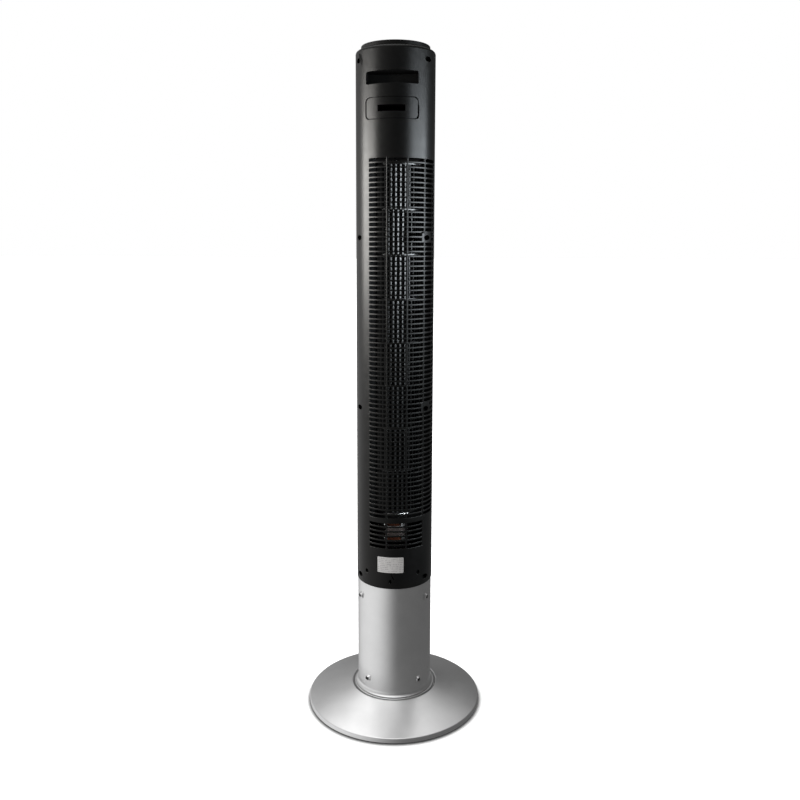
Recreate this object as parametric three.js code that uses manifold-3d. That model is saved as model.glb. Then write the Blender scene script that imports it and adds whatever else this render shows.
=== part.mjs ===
// A tower fan on a round pedestal, in millimetres.
// +Z is up, the floor is z = 0, and the tower's axis is the Z axis. The air leaves at the front, towards -Y,
// and is drawn in through the grille of the rear shell, towards +Y.
//
// The pedestal (base, column and swing spigot) stands still. The head turns on the spigot's post, driven by a
// small geared motor whose pinion walks round a fixed gear. Inside the head a cross-flow wheel hangs between
// the motor below it and a bush above it. Four buttons sit in the panel on top.
//
// Angles written as theta are degrees round the axis, 0 at the rear (+Y) and growing towards -X.
import * as THREE from "three";
import { mergeVertices } from "three/addons/utils/BufferGeometryUtils.js";
import Module from "manifold-3d";

const wasm = await Module();
wasm.setup();

// ---------------------------------------------------------------- driving dimensions

const GAP = 0.3; // what two pieces that touch keep between them
const ROUND = 24; // sides of a shell, and of whatever nests in one
const FINE = 32; // sides of the pedestal's wide rings

const BODY_R = 67; // outside of the tower's head
const WALL = 2.5; // wall of the shells
const INNER_R = BODY_R - WALL;
const NEST_R = INNER_R - 0.7; // pieces that fit inside the shells
const RISER = 50; // a cutter reaches this far past what it cuts

const FLOOR_GAP = 2; // under the rim of the base
const BASE_R = 155.2;
const RIM_TOP = 10.4;
const RECESS_R = 75.8; // mouth of the recess round the column's foot
const RECESS_TOP = 33;
const RECESS_FLOOR = 26;
const COVER_WALL = 3;
const BALLAST = { inner: 40, outer: 146, bottom: 3.7, top: 8.7 };
const FOOT = { count: 4, radius: 9, ring: 128, height: BALLAST.bottom - GAP };

const COLUMN_R = 66;
const COLUMN_BOTTOM = 34;
const COLUMN_TOP = 234.4;
const COLUMN_WALL = 1.6;
const SPIGOT_R = COLUMN_R - COLUMN_WALL - 0.4;
const LOW_SCREWS = { z: 60.4, thetas: [45.1, 141.7, 225.1, 321.7] };
const HIGH_SCREWS = { z: 209, thetas: [62.9, 183.4, 303.9] };

const POST_R = 16; // hollow post that the head turns on
const POST_TOP = 258;
const WASHER = { inner: 40, outer: 58, bottom: 231.8, top: 235.2 };
const FLOOR_BOTTOM = 235.5; // underside of the head's chassis floor
const FLOOR_TOP = 239.5;

const SHELL_BOTTOM = 235.2;
const SHOULDER_START = 1142;
const SHOULDER_TOP = 1149.8;
const HEAD_TOP = 1155.6;
const CAP_R = 57.9;

// The rear grille: a block of slots between ribs, and a short block below it for the motor.
const RIB_THETAS = [-35.7, -6, 23.7, 53.4, 83.1];
const RIB_HALF = 1.15; // degrees
const SLOT_PITCH = 8.03;
const SLOT_HEIGHT = 5.2;
// The solid merges slots that lie one above the other, this many into one.
const MAIN_SLOTS = { bottom: 361.9, count: 76, cells: 4, merged: 4 };
const MOTOR_SLOTS = { bottom: 307.4, count: 6, cells: 3, merged: 3 };
const PADS = [833, 544]; // blank pads round the screws that stand in the grille
const PAD = { height: 18.8, from: 48.4, to: 69.8 };

// Screws that draw the two shells together run along Y, at the sides.
const SIDE_SCREWS = { theta: 58, heights: [247.8, 550, 841, 1128.5], seat: 18 };
const SIDE_X = BODY_R * Math.sin(THREE.MathUtils.degToRad(SIDE_SCREWS.theta));
const SIDE_BORE = 4.2;
const SIDE_BOSS = 6;
const FRONT_BOSS = 4.6;
// Three radial screws hold the rear shell to the chassis floor.
const FLOOR_SCREWS = [
  { theta: -40, z: 260.6 },
  { theta: 1, z: 248 },
  { theta: 44, z: 260.6 },
];

const HANDLE = { half: 42.8, bottom: 1087, top: 1107, back: 28, wall: 2 };
const POCKET = { half: 43.8, bottom: 1031, top: 1066, corner: 7 };
const SLOT = { half: 22.3, bottom: 1043.2, top: 1053.2, back: -20, wall: 2 };
const LABEL = { half: 19.7, bottom: 264.3, top: 292.3 };
const WINDOW = { half: 46, bottom: 361, top: 976 };

const PLATE = { bottom: 354.3, top: 356.8 }; // between the motor's bay and the duct
const BRACKET = { bottom: 971.5, top: 974.5 };
const WHEEL = { radius: 43.2, bottom: 363.4, top: 963.4, segments: 8, disc: 2, blades: 9 };
const SHAFT_R = 4.2;
const MOTOR = { radius: 31, core: [318, 334], bottom: 306, top: 361, wall: 2 };
const LEAD = { radius: 2, theta: -112, ring: 59.8 };

const TOOTH = { module: 1.75, fixed: 30, pinion: 10, bottom: 240, top: 248 };
const PINION_AT = (TOOTH.module * (TOOTH.fixed + TOOTH.pinion)) / 2; // in front of the axis

const BUTTON = { radius: 5.5, ring: 30, top: HEAD_TOP - 0.2, angles: [-54, -18, 18, 54] };
const BUTTON_NAMES = ["power_button", "speed_button", "timer_button", "swing_button"];
const CAP_PLATE = { bottom: 1149.5, top: 1152.5 };
const PANEL = { radius: 49.9, bottom: 1152.8, top: 1154.2 };
const DISPLAY = { half: 19.6, from: -1.6, to: 13.6 };

// ---------------------------------------------------------------- solids from three.js geometry

// A closed three.js geometry as a manifold-3d solid that faces out.
function toSolid(geometry) {
  const loose = geometry.index ? geometry.toNonIndexed() : geometry;
  const bare = new THREE.BufferGeometry().setAttribute("position", loose.getAttribute("position"));
  const merged = mergeVertices(bare, 1e-4);
  const index = merged.index.array;
  const build = (order) => {
    const triVerts = [];
    for (let i = 0; i < index.length; i += 3) {
      const corners = order.map((k) => index[i + k]);
      if (new Set(corners).size === 3) triVerts.push(...corners);
    }
    const vertProperties = new Float32Array(merged.attributes.position.array);
    const mesh = new wasm.Mesh({ numProp: 3, vertProperties, triVerts: new Uint32Array(triVerts) });
    return new wasm.Manifold(mesh);
  };
  const solid = build([0, 1, 2]);
  return solid.volume() < 0 ? build([0, 2, 1]) : solid;
}

// The other way: a solid as a BufferGeometry.
function toGeometry(solid) {
  const { vertProperties, triVerts, numProp } = solid.getMesh();
  const position = new Float32Array((vertProperties.length / numProp) * 3);
  for (let i = 0; i < position.length / 3; i++) {
    position.set(vertProperties.subarray(i * numProp, i * numProp + 3), i * 3);
  }
  const geometry = new THREE.BufferGeometry();
  geometry.setAttribute("position", new THREE.BufferAttribute(position, 3));
  geometry.setIndex(new THREE.BufferAttribute(new Uint32Array(triVerts), 1));
  geometry.computeVertexNormals();
  return geometry;
}

const rad = THREE.MathUtils.degToRad;

// A point of the plan at theta degrees from the rear.
function polar(theta, r) {
  return new THREE.Vector2(-r * Math.sin(rad(theta)), r * Math.cos(rad(theta)));
}

// Turned about Z from a closed outline of [radius, z] points.
function turned(outline, sides = ROUND) {
  const points = [...outline, outline[0]].map(([r, z]) => new THREE.Vector2(r, z));
  return toSolid(new THREE.LatheGeometry(points, sides).rotateX(Math.PI / 2));
}

function ring(inner, outer, bottom, top, sides = ROUND) {
  return turned([[inner, bottom], [outer, bottom], [outer, top], [inner, top]], sides);
}

function box(x0, x1, y0, y1, z0, z1) {
  const shape = new THREE.BoxGeometry(x1 - x0, y1 - y0, z1 - z0);
  return toSolid(shape.translate((x0 + x1) / 2, (y0 + y1) / 2, (z0 + z1) / 2));
}

// Round rods along Z, along Y, and along the radius at theta.
function rod(radius, z0, z1, [x, y] = [0, 0], sides = ROUND) {
  const shape = new THREE.CylinderGeometry(radius, radius, z1 - z0, sides).rotateX(Math.PI / 2);
  return toSolid(shape.translate(x, y, (z0 + z1) / 2));
}

function rodY(radius, x, z, y0, y1, sides = 8) {
  const shape = new THREE.CylinderGeometry(radius, radius, y1 - y0, sides);
  return toSolid(shape.translate(x, (y0 + y1) / 2, z));
}

function radialRod(radius, theta, z, r0, r1, sides = 8) {
  const shape = new THREE.CylinderGeometry(radius, radius, r1 - r0, sides);
  return toSolid(shape.translate(0, (r0 + r1) / 2, 0).rotateZ(rad(theta)).translate(0, 0, z));
}

// An outline of the plan raised from z0 to z1.
function raised(shape, z0, z1, curveSegments = 2) {
  const geometry = new THREE.ExtrudeGeometry(shape, { depth: z1 - z0, bevelEnabled: false, curveSegments });
  return toSolid(geometry.translate(0, 0, z0));
}

// An outline drawn in X and Z, run along Y.
function runY(shape, y0, y1) {
  const settings = { depth: y1 - y0, bevelEnabled: false, curveSegments: 3 };
  return toSolid(new THREE.ExtrudeGeometry(shape, settings).rotateX(Math.PI / 2).translate(0, y1, 0));
}

// A stretch of a round wall.
function sector(r0, r1, theta0, theta1) {
  const shape = new THREE.Shape();
  shape.absarc(0, 0, r1, rad(90 + theta0), rad(90 + theta1), false);
  shape.absarc(0, 0, r0, rad(90 + theta1), rad(90 + theta0), true);
  return shape;
}

function roundedRect(x0, x1, y0, y1, corner) {
  const shape = new THREE.Shape();
  shape.absarc(x1 - corner, y0 + corner, corner, -Math.PI / 2, 0, false);
  shape.absarc(x1 - corner, y1 - corner, corner, 0, Math.PI / 2, false);
  shape.absarc(x0 + corner, y1 - corner, corner, Math.PI / 2, Math.PI, false);
  shape.absarc(x0 + corner, y0 + corner, corner, Math.PI, 1.5 * Math.PI, false);
  return shape;
}

// A wall of even thickness that follows a line of points in the plan.
function wallAlong(line, thickness) {
  const side = (sign) =>
    line.map((point, i) => {
      const before = line[Math.max(i - 1, 0)];
      const after = line[Math.min(i + 1, line.length - 1)];
      const along = after.clone().sub(before).normalize();
      const across = new THREE.Vector2(-along.y, along.x);
      return point.clone().addScaledVector(across, (sign * thickness) / 2);
    });
  return new THREE.Shape([...side(-1), ...side(1).reverse()]);
}

const joined = (solids) => solids.reduce((whole, next) => whole.add(next));
const cut = (solid, ...cutters) => cutters.flat().reduce((left, cutter) => left.subtract(cutter), solid);

// ---------------------------------------------------------------- materials and nodes

const finish = (color, roughness, metalness = 0) =>
  new THREE.MeshStandardMaterial({ color, roughness, metalness });

const BLACK = finish(0x1b1b1a, 0.45);
const BLACK_GLOSS = finish(0x0c0c0d, 0.2);
const SILVER = finish(0xb4b5b6, 0.35, 0.6);
const STEEL = finish(0x8d9094, 0.35, 0.9);
const DARK_STEEL = finish(0x2b2b2e, 0.4, 0.8);
const COPPER = finish(0x7a3a22, 0.4, 0.5);
const NYLON = finish(0xe9e6dc, 0.5);
const RUBBER = finish(0x151515, 0.9);
const BOARD = finish(0x1f5a37, 0.6);
const PAPER = finish(0xdedad4, 0.6);

const fan = new THREE.Group();
const pedestal = new THREE.Group();
const head = new THREE.Group();
const blower = new THREE.Group();
head.add(blower);
fan.add(pedestal, head);

function place(group, name, solid, material) {
  const mesh = new THREE.Mesh(toGeometry(solid), material);
  mesh.name = name;
  group.add(mesh);
  return mesh;
}

// ---------------------------------------------------------------- fasteners

// A pan-head screw with its tip towards -Y and the underside of its head at y = 0.
function screwGeometry(headR, headHeight, shankR, shankLength) {
  const outline = [
    [0, -shankLength],
    [shankR, -shankLength],
    [shankR, 0],
    [headR, 0],
    [headR * 0.85, headHeight],
    [0, headHeight],
  ];
  const points = outline.map(([r, y]) => new THREE.Vector2(r, y));
  return toGeometry(toSolid(new THREE.LatheGeometry(points, 6)));
}

function placeScrew(group, name, geometry, x, y, z, theta = 0) {
  const mesh = new THREE.Mesh(geometry, DARK_STEEL);
  mesh.name = name;
  mesh.position.set(x, y, z);
  mesh.rotation.z = rad(theta);
  group.add(mesh);
}

// ---------------------------------------------------------------- pedestal

// A dished disc with a recess round the column's foot, hollow underneath.
function baseCover() {
  const slope = (RECESS_TOP - RIM_TOP) / (BASE_R - RECESS_R);
  return turned(
    [
      [BASE_R - 0.8, FLOOR_GAP],
      [BASE_R, FLOOR_GAP + 1],
      [BASE_R, RIM_TOP - 2.2],
      [BASE_R - 2.4, RIM_TOP],
      [RECESS_R + 1.6, RECESS_TOP],
      [RECESS_R - 0.2, RECESS_TOP - 0.6],
      [RECESS_R - 2.4, RECESS_FLOOR],
      [57, RECESS_FLOOR],
      [57, RECESS_FLOOR - COVER_WALL],
      [RECESS_R - 4, RECESS_FLOOR - COVER_WALL],
      [RECESS_R - 1, RECESS_TOP - COVER_WALL - 1],
      [BASE_R - COVER_WALL, RIM_TOP - COVER_WALL + slope],
      [BASE_R - COVER_WALL, FLOOR_GAP],
    ],
    FINE,
  );
}

const CORD_HOLE = { y: 100, radius: 6.2 };

function baseBallast() {
  const plate = ring(BALLAST.inner, BALLAST.outer, BALLAST.bottom, BALLAST.top, FINE);
  return plate.subtract(rod(CORD_HOLE.radius, 0, 20, [0, CORD_HOLE.y], 12));
}

// A flanged bush in the ballast plate, where the mains lead comes out under the base.
function cordGland() {
  const outline = [[3.6, 1], [8.5, 1], [8.5, 3.4], [5.8, 3.4], [5.8, 14], [3.6, 14]];
  const points = [...outline, outline[0]].map(([r, z]) => new THREE.Vector2(r, z));
  const geometry = new THREE.LatheGeometry(points, 12).rotateX(Math.PI / 2);
  return toSolid(geometry.translate(0, CORD_HOLE.y, 0));
}

// The collar that shows round the column's foot, and the spigot that the column slides over.
function columnSocket() {
  const body = turned(
    [
      [56, RECESS_FLOOR + GAP],
      [72.6, RECESS_FLOOR + GAP],
      [72.6, COLUMN_BOTTOM - 1.4],
      [71.9, COLUMN_BOTTOM - 0.7],
      [SPIGOT_R, COLUMN_BOTTOM - 0.7],
      [SPIGOT_R, 78],
      [SPIGOT_R - 3, 78],
      [SPIGOT_R - 3, RECESS_FLOOR + 3.4],
      [56, RECESS_FLOOR + 3.4],
    ],
    FINE,
  );
  return cut(body, LOW_SCREWS.thetas.map((t) => radialRod(1.9, t, LOW_SCREWS.z, 50, 70)));
}

// The silver tube, with a flared foot and holes for the screws at both ends.
function column() {
  const inner = COLUMN_R - COLUMN_WALL;
  const tube = turned(
    [
      [inner, COLUMN_BOTTOM],
      [69.9, COLUMN_BOTTOM],
      [69.9, COLUMN_BOTTOM + 0.7],
      [68.2, COLUMN_BOTTOM + 2.4],
      [66.7, COLUMN_BOTTOM + 5.4],
      [COLUMN_R, COLUMN_BOTTOM + 9],
      [COLUMN_R, COLUMN_TOP - 0.8],
      [COLUMN_R - 0.8, COLUMN_TOP],
      [inner, COLUMN_TOP],
    ],
    FINE,
  );
  const holes = [LOW_SCREWS, HIGH_SCREWS].flatMap(({ z, thetas }) =>
    thetas.map((theta) => radialRod(3.3, theta, z, 60, 75)),
  );
  return cut(tube, holes);
}

// A plug in the top of the column, with the hollow post that carries the head.
function swingSpigot() {
  const body = turned([
    [SPIGOT_R - 3, 188],
    [SPIGOT_R, 188],
    [SPIGOT_R, WASHER.bottom - GAP],
    [POST_R, WASHER.bottom - GAP],
    [POST_R, POST_TOP],
    [POST_R - 4, POST_TOP],
    [POST_R - 4, WASHER.bottom - GAP - 4],
    [SPIGOT_R - 3, WASHER.bottom - GAP - 4],
  ]);
  return cut(body, HIGH_SCREWS.thetas.map((t) => radialRod(1.9, t, HIGH_SCREWS.z, 50, 70)));
}

// A spur gear's outline: straight-sided teeth, thin enough to run with some backlash.
function gearShape(teeth, turn) {
  const pitch = (TOOTH.module * teeth) / 2;
  const step = (2 * Math.PI) / teeth;
  const tip = pitch + 0.8 * TOOTH.module;
  const root = pitch - 1.05 * TOOTH.module;
  const corners = [[root, -0.27], [tip, -0.12], [tip, 0.12], [root, 0.27]];
  const points = [];
  for (let k = 0; k < teeth; k++) {
    for (const [r, share] of corners) {
      const a = turn + (k + share) * step;
      points.push(new THREE.Vector2(r * Math.cos(a), r * Math.sin(a)));
    }
  }
  return new THREE.Shape(points);
}

// Fixed gear, clamped on the post by its own hub; it also keeps the head from lifting off.
function swingGear() {
  const teeth = raised(gearShape(TOOTH.fixed, -Math.PI / 2), TOOTH.bottom, TOOTH.top);
  const hub = rod(21, TOOTH.top - 1, TOOTH.top + 6);
  return teeth.add(hub).subtract(rod(POST_R + GAP, 200, 300));
}

place(pedestal, "base_cover", baseCover(), SILVER);
place(pedestal, "base_ballast", baseBallast(), STEEL);
place(pedestal, "cord_gland", cordGland(), RUBBER);
place(pedestal, "column_socket", columnSocket(), SILVER);
place(pedestal, "column", column(), SILVER);
place(pedestal, "swing_spigot", swingSpigot(), BLACK);
place(pedestal, "swing_gear", swingGear(), NYLON);
place(pedestal, "swing_washer", ring(WASHER.inner, WASHER.outer, WASHER.bottom, WASHER.top), NYLON);

const footGeometry = toGeometry(rod(FOOT.radius, 0, FOOT.height, [0, 0], 16));
for (let i = 0; i < FOOT.count; i++) {
  const foot = new THREE.Mesh(footGeometry, RUBBER);
  const at = polar(45 + (360 * i) / FOOT.count, FOOT.ring);
  foot.name = `foot_${i + 1}`;
  foot.position.set(at.x, at.y, 0);
  pedestal.add(foot);
}

const columnScrew = screwGeometry(2.9, 1.8, 1.5, 7);
for (const [row, { z, thetas }] of [["low", LOW_SCREWS], ["high", HIGH_SCREWS]]) {
  thetas.forEach((theta, i) => {
    const at = polar(theta, SPIGOT_R + GAP);
    placeScrew(pedestal, `column_screw_${row}_${i + 1}`, columnScrew, at.x, at.y, z, theta);
  });
}

// ---------------------------------------------------------------- swing drive, in the head's floor

const sideBosses = (radius, z, y0, y1) => [-1, 1].map((side) => rodY(radius, side * SIDE_X, z, y0, y1));

// Floor of the head, with a skirt that the shells are screwed to and two posts for the swing motor.
function chassisFloor() {
  const body = turned([
    [POST_R + 1, FLOOR_BOTTOM],
    [NEST_R, FLOOR_BOTTOM],
    [NEST_R, 268],
    [NEST_R - 2.8, 268],
    [NEST_R - 2.8, FLOOR_TOP],
    [POST_R + 1, FLOOR_TOP],
  ]);
  const posts = [-1, 1].map((side) => rod(4.5, FLOOR_TOP - 1, 262.7, [side * 29, -PINION_AT], 10));
  return cut(
    joined([body, ...posts]),
    [-67, 50].map((x) => box(x, x + 17, -9, 38, SIDE_SCREWS.heights[0] - 7, SIDE_SCREWS.heights[0] + 7)),
    FLOOR_SCREWS.map(({ theta, z }) => radialRod(1.9, theta, z, 50, 70)),
  );
}

function swingMotor() {
  const can = rod(24, 263, 283, [0, -PINION_AT]);
  const ears = raised(roundedRect(-33, 33, -PINION_AT - 5, -PINION_AT + 5, 4.5), 263, 265);
  return can.add(ears);
}

// The motor's pinion stands in front of the axis, its teeth between those of the fixed gear.
function swingPinion() {
  const halfTooth = Math.PI / TOOTH.pinion;
  const teeth = raised(gearShape(TOOTH.pinion, Math.PI / 2 + halfTooth), TOOTH.bottom + 1, TOOTH.top);
  return teeth.add(rod(3, TOOTH.top - 1, 263 - GAP, [0, 0], 10));
}

place(head, "chassis_floor", chassisFloor(), BLACK);
place(head, "swing_motor", swingMotor(), STEEL);
place(head, "swing_pinion", swingPinion(), NYLON).position.set(0, -PINION_AT, 0);

// ---------------------------------------------------------------- shells

// Both shells before they are parted: a tube that turns in at the top to a round shoulder.
function wholeShell() {
  return turned([
    [INNER_R, SHELL_BOTTOM],
    [BODY_R, SHELL_BOTTOM],
    [BODY_R, SHOULDER_START],
    [BODY_R - 0.7, SHOULDER_START + 2.6],
    [BODY_R - 2.6, SHOULDER_START + 4.9],
    [BODY_R - 5.6, SHOULDER_TOP - 1.2],
    [CAP_R + 0.5, SHOULDER_TOP],
    [CAP_R + 0.5, SHOULDER_TOP - 2.6],
    [INNER_R - 2, SHOULDER_TOP - 2.8],
    [INNER_R, SHOULDER_START],
  ]);
}

// The slots of one block of the rear grille, row by row and cell by cell.
function grilleSlots({ bottom, count, cells, merged }) {
  const slots = [];
  for (let row = 0; row < count; row += merged) {
    const z0 = bottom + row * SLOT_PITCH;
    const z1 = z0 + (merged - 1) * SLOT_PITCH + SLOT_HEIGHT;
    for (let cell = 0; cell < cells; cell++) {
      const from = RIB_THETAS[cell] + RIB_HALF;
      const to = RIB_THETAS[cell + 1] - RIB_HALF;
      slots.push(raised(sector(INNER_R - 4, BODY_R + 4, from, to), z0, z1));
    }
  }
  return slots;
}

function rearShell() {
  const half = wholeShell().intersect(box(-80, 80, 0.2, 80, 200, 1200));
  const slotted = cut(half, grilleSlots(MAIN_SLOTS), grilleSlots(MOTOR_SLOTS));
  const wall = half.subtract(rod(INNER_R + 0.1, 200, 1130, [0, 0]));
  const pads = PADS.map((z) => wall.intersect(raised(sector(60, 70, PAD.from, PAD.to), z, z + PAD.height)));
  const inside = rod(BODY_R - 0.1, 200, 1200);
  const bosses = SIDE_SCREWS.heights.flatMap((z) =>
    sideBosses(SIDE_BOSS, z, SIDE_SCREWS.seat - 3, RISER).map((boss) => boss.intersect(inside)),
  );
  return cut(
    joined([slotted, ...pads, ...bosses]),
    SIDE_SCREWS.heights.flatMap((z) => [
      ...sideBosses(SIDE_BORE, z, SIDE_SCREWS.seat, 70),
      ...sideBosses(2, z, 10, SIDE_SCREWS.seat + 1),
    ]),
    FLOOR_SCREWS.map(({ theta, z }) => radialRod(3.5, theta, z, 60, 75)),
    box(-HANDLE.half, HANDLE.half, 20, 80, HANDLE.bottom, HANDLE.top),
    runY(roundedRect(-POCKET.half, POCKET.half, POCKET.bottom, POCKET.top, POCKET.corner), 20, 80),
  );
}

// The front half has a tall window for the outlet grille and the bosses that the side screws bite in.
function frontShell() {
  const half = wholeShell().intersect(box(-80, 80, -80, -0.2, 200, 1200));
  const inside = rod(BODY_R - 0.1, 200, 1200);
  const bosses = SIDE_SCREWS.heights.flatMap((z) => [
    ...sideBosses(FRONT_BOSS, z, -8, SIDE_SCREWS.seat - 3 - GAP),
    box(-BODY_R, -SIDE_X, -8, -1, z - 2.5, z + 2.5).intersect(inside),
    box(SIDE_X, BODY_R, -8, -1, z - 2.5, z + 2.5).intersect(inside),
  ]);
  return cut(
    joined([half, ...bosses]),
    SIDE_SCREWS.heights.flatMap((z) => sideBosses(2, z, 1, 20)),
    runY(roundedRect(-WINDOW.half, WINDOW.half, WINDOW.bottom, WINDOW.top, 12), -80, -20),
  );
}

// A curved panel of upright bars that fills the front window.
function frontGrille() {
  const frame = { half: WINDOW.half - 0.5, bottom: WINDOW.bottom + 0.5, top: WINDOW.top - 0.5, edge: 5 };
  const columns = 9;
  const rows = 3;
  const bar = 2.4;
  const width = (2 * (frame.half - frame.edge) + bar) / columns;
  const height = (frame.top - frame.bottom - 2 * frame.edge + bar) / rows;
  const outline = roundedRect(-frame.half, frame.half, frame.bottom, frame.top, 11.5);
  const panel = ring(BODY_R - 2.6, BODY_R - 0.4, 300, 1100).intersect(runY(outline, -80, -20));
  const cells = [];
  for (let i = 0; i < columns; i++) {
    const x0 = -frame.half + frame.edge + i * width;
    for (let j = 0; j < rows; j++) {
      const z0 = frame.bottom + frame.edge + j * height;
      cells.push(box(x0, x0 + width - bar, -80, -20, z0, z0 + height - bar));
    }
  }
  return cut(panel, cells);
}

// A finger recess behind the upper opening of the rear shell.
function handleCup() {
  const { half, bottom, top, back, wall } = HANDLE;
  const block = box(-half - wall, half + wall, back - wall, 66, bottom - wall, top + wall);
  const curved = block.intersect(rod(INNER_R - GAP, 1000, 1200));
  return curved.subtract(box(-half, half, back, 80, bottom, top));
}

// A flush face with a slot, and behind it the box that the flat remote control slides into.
function remotePocket() {
  const lip = 2.4;
  const { half, bottom, top, corner } = POCKET;
  const face = runY(roundedRect(-half + 0.5, half - 0.5, bottom + 0.5, top - 0.5, corner - 0.5), 20, 80);
  const flange = runY(roundedRect(-half - lip, half + lip, bottom - lip, top + lip, corner), 20, 80);
  const back = box(-SLOT.half - SLOT.wall, SLOT.half + SLOT.wall, SLOT.back - SLOT.wall, 62.5,
    SLOT.bottom - SLOT.wall, SLOT.top + SLOT.wall);
  const body = joined([
    ring(62, BODY_R - 0.1, 1000, 1100).intersect(face),
    ring(62, INNER_R - GAP, 1000, 1100).intersect(flange),
    back,
  ]);
  return body.subtract(box(-SLOT.half, SLOT.half, SLOT.back, 80, SLOT.bottom, SLOT.top));
}

place(head, "rear_shell", rearShell(), BLACK);
place(head, "front_shell", frontShell(), BLACK);
place(head, "front_grille", frontGrille(), BLACK);
place(head, "handle_cup", handleCup(), BLACK);
place(head, "remote_pocket", remotePocket(), BLACK);
const labelOutline = sector(BODY_R + GAP, BODY_R + 0.6, -LABEL.half, LABEL.half);
place(head, "rating_label", raised(labelOutline, LABEL.bottom, LABEL.top, 6), PAPER);

const sideScrew = screwGeometry(3.6, 2.2, 1.7, 15);
SIDE_SCREWS.heights.forEach((z, i) => {
  for (const [side, x] of [["left", SIDE_X], ["right", -SIDE_X]]) {
    placeScrew(head, `shell_screw_${side}_${i + 1}`, sideScrew, x, SIDE_SCREWS.seat + GAP, z);
  }
});
const floorScrew = screwGeometry(3, 1.8, 1.5, 7);
FLOOR_SCREWS.forEach(({ theta, z }, i) => {
  const at = polar(theta, NEST_R + GAP);
  placeScrew(head, `floor_screw_${i + 1}`, floorScrew, at.x, at.y, z, theta);
});

// ---------------------------------------------------------------- duct

const DUCT = { bottom: PLATE.top + GAP, top: BRACKET.bottom - GAP, wall: 2 };

// The scroll opens slowly round the wheel from its tip at the rear to the edge of the outlet.
function ductScroll() {
  const line = [polar(-37, 62.2)];
  const from = 41;
  const to = 132;
  const steps = 10;
  for (let i = 0; i <= steps; i++) {
    const share = i / steps;
    line.push(polar(-(from + share * (to - from)), 45.2 + 11 * share ** 1.3));
  }
  line.push(polar(-135.5, 61.3));
  return raised(wallAlong(line, DUCT.wall), DUCT.bottom, DUCT.top);
}

// The tongue keeps the air that leaves from going round again.
function ductTongue() {
  const line = [polar(101, 62.2), polar(107, 45.8), polar(116, 45.8), polar(135.5, 61.3)];
  return raised(wallAlong(line, DUCT.wall), DUCT.bottom, DUCT.top);
}

const leadAt = polar(LEAD.theta, LEAD.ring);
const leadNotch = () => rod(LEAD.radius + 1.2, 300, 1000, leadAt.toArray(), 8);

// The motor's upper end stands through this plate, with the motor's flange against its underside.
function motorPlate() {
  return cut(ring(MOTOR.radius + 0.5, NEST_R, PLATE.bottom, PLATE.top), leadNotch());
}

// The plate that closes the duct's top and holds the wheel's upper bush.
function topBracket() {
  const body = turned([
    [8, BRACKET.bottom],
    [NEST_R, BRACKET.bottom],
    [NEST_R, BRACKET.top],
    [12, BRACKET.top],
    [12, 980],
    [8, 980],
  ]);
  return cut(body, leadNotch());
}

place(head, "duct_scroll", ductScroll(), BLACK);
place(head, "duct_tongue", ductTongue(), BLACK);
place(head, "motor_plate", motorPlate(), BLACK);
place(head, "top_bracket", topBracket(), BLACK);
place(head, "bearing_bush", ring(3.3, 7.7, BRACKET.bottom + 0.4, 979, 16), RUBBER);

// ---------------------------------------------------------------- blower wheel and motor

// Discs joined by upright blades. The end discs are closed, the others are rings.
function blowerWheel() {
  const { radius, bottom, top, segments, disc, blades } = WHEEL;
  const step = (top - bottom - disc) / segments;
  const blade = raised(wallAlong([polar(0, radius - 9), polar(-11, radius - 2.4)], 1.4), bottom + 1, top - 1);
  const solids = [];
  for (let i = 0; i <= segments; i++) {
    const z = bottom + i * step;
    const closed = i === 0 || i === segments;
    solids.push(closed ? rod(radius, z, z + disc, [0, 0], 12) : ring(radius - 10, radius, z, z + disc, 12));
  }
  for (let i = 0; i < blades; i++) solids.push(blade.rotate([0, 0, (360 * i) / blades]));
  solids.push(rod(9, bottom + 1, bottom + 10, [0, 0], 16), rod(3, top - 1, top + 23, [0, 0], 12));
  return cut(joined(solids), rod(SHAFT_R + GAP, bottom - 1, bottom + 8, [0, 0], 16));
}

function motorRotor() {
  return joined([
    rod(18, 313, 339, [0, 0], 16),
    rod(SHAFT_R, MOTOR.bottom - 6, WHEEL.bottom + 8 - GAP, [0, 0], 16),
  ]);
}

// A pressed end shield: a round cup on four legs that reach to the core. The upper one has the flange.
function motorShield(upper) {
  const { radius, wall, core } = MOTOR;
  const [plate0, plate1] = upper ? [MOTOR.top - wall, MOTOR.top] : [MOTOR.bottom, MOTOR.bottom + wall];
  const [skirt0, skirt1] = upper ? [core[1] + GAP, plate1] : [plate0, core[0] - GAP];
  const cup = ring(radius - wall, radius, skirt0, skirt1, 16);
  const body = ring(SHAFT_R + GAP, radius, plate0, plate1, 16).add(cup);
  const [open0, open1] = upper ? [core[1] + 2, plate0 - 1] : [plate1 + 1, core[0] - 2];
  const half = 15;
  const open = cut(body, box(-half, half, -50, 50, open0, open1), box(-50, 50, -half, half, open0, open1));
  return upper ? open.add(ring(radius - wall, radius + 6, PLATE.bottom - 2.6, PLATE.bottom - GAP, 16)) : open;
}

const [CORE_BOTTOM, CORE_TOP] = MOTOR.core;
place(blower, "blower_wheel", blowerWheel(), BLACK);
place(blower, "motor_rotor", motorRotor(), STEEL);
place(head, "stator_core", ring(18.6, MOTOR.radius - 1, CORE_BOTTOM, CORE_TOP, 16), STEEL);
place(head, "coil_upper", ring(19.5, 28, CORE_TOP + GAP, CORE_TOP + 13, 16), COPPER);
place(head, "coil_lower", ring(19.5, 28, CORE_BOTTOM - 9, CORE_BOTTOM - GAP, 16), COPPER);
place(head, "motor_shield_upper", motorShield(true), STEEL);
place(head, "motor_shield_lower", motorShield(false), STEEL);

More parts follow.
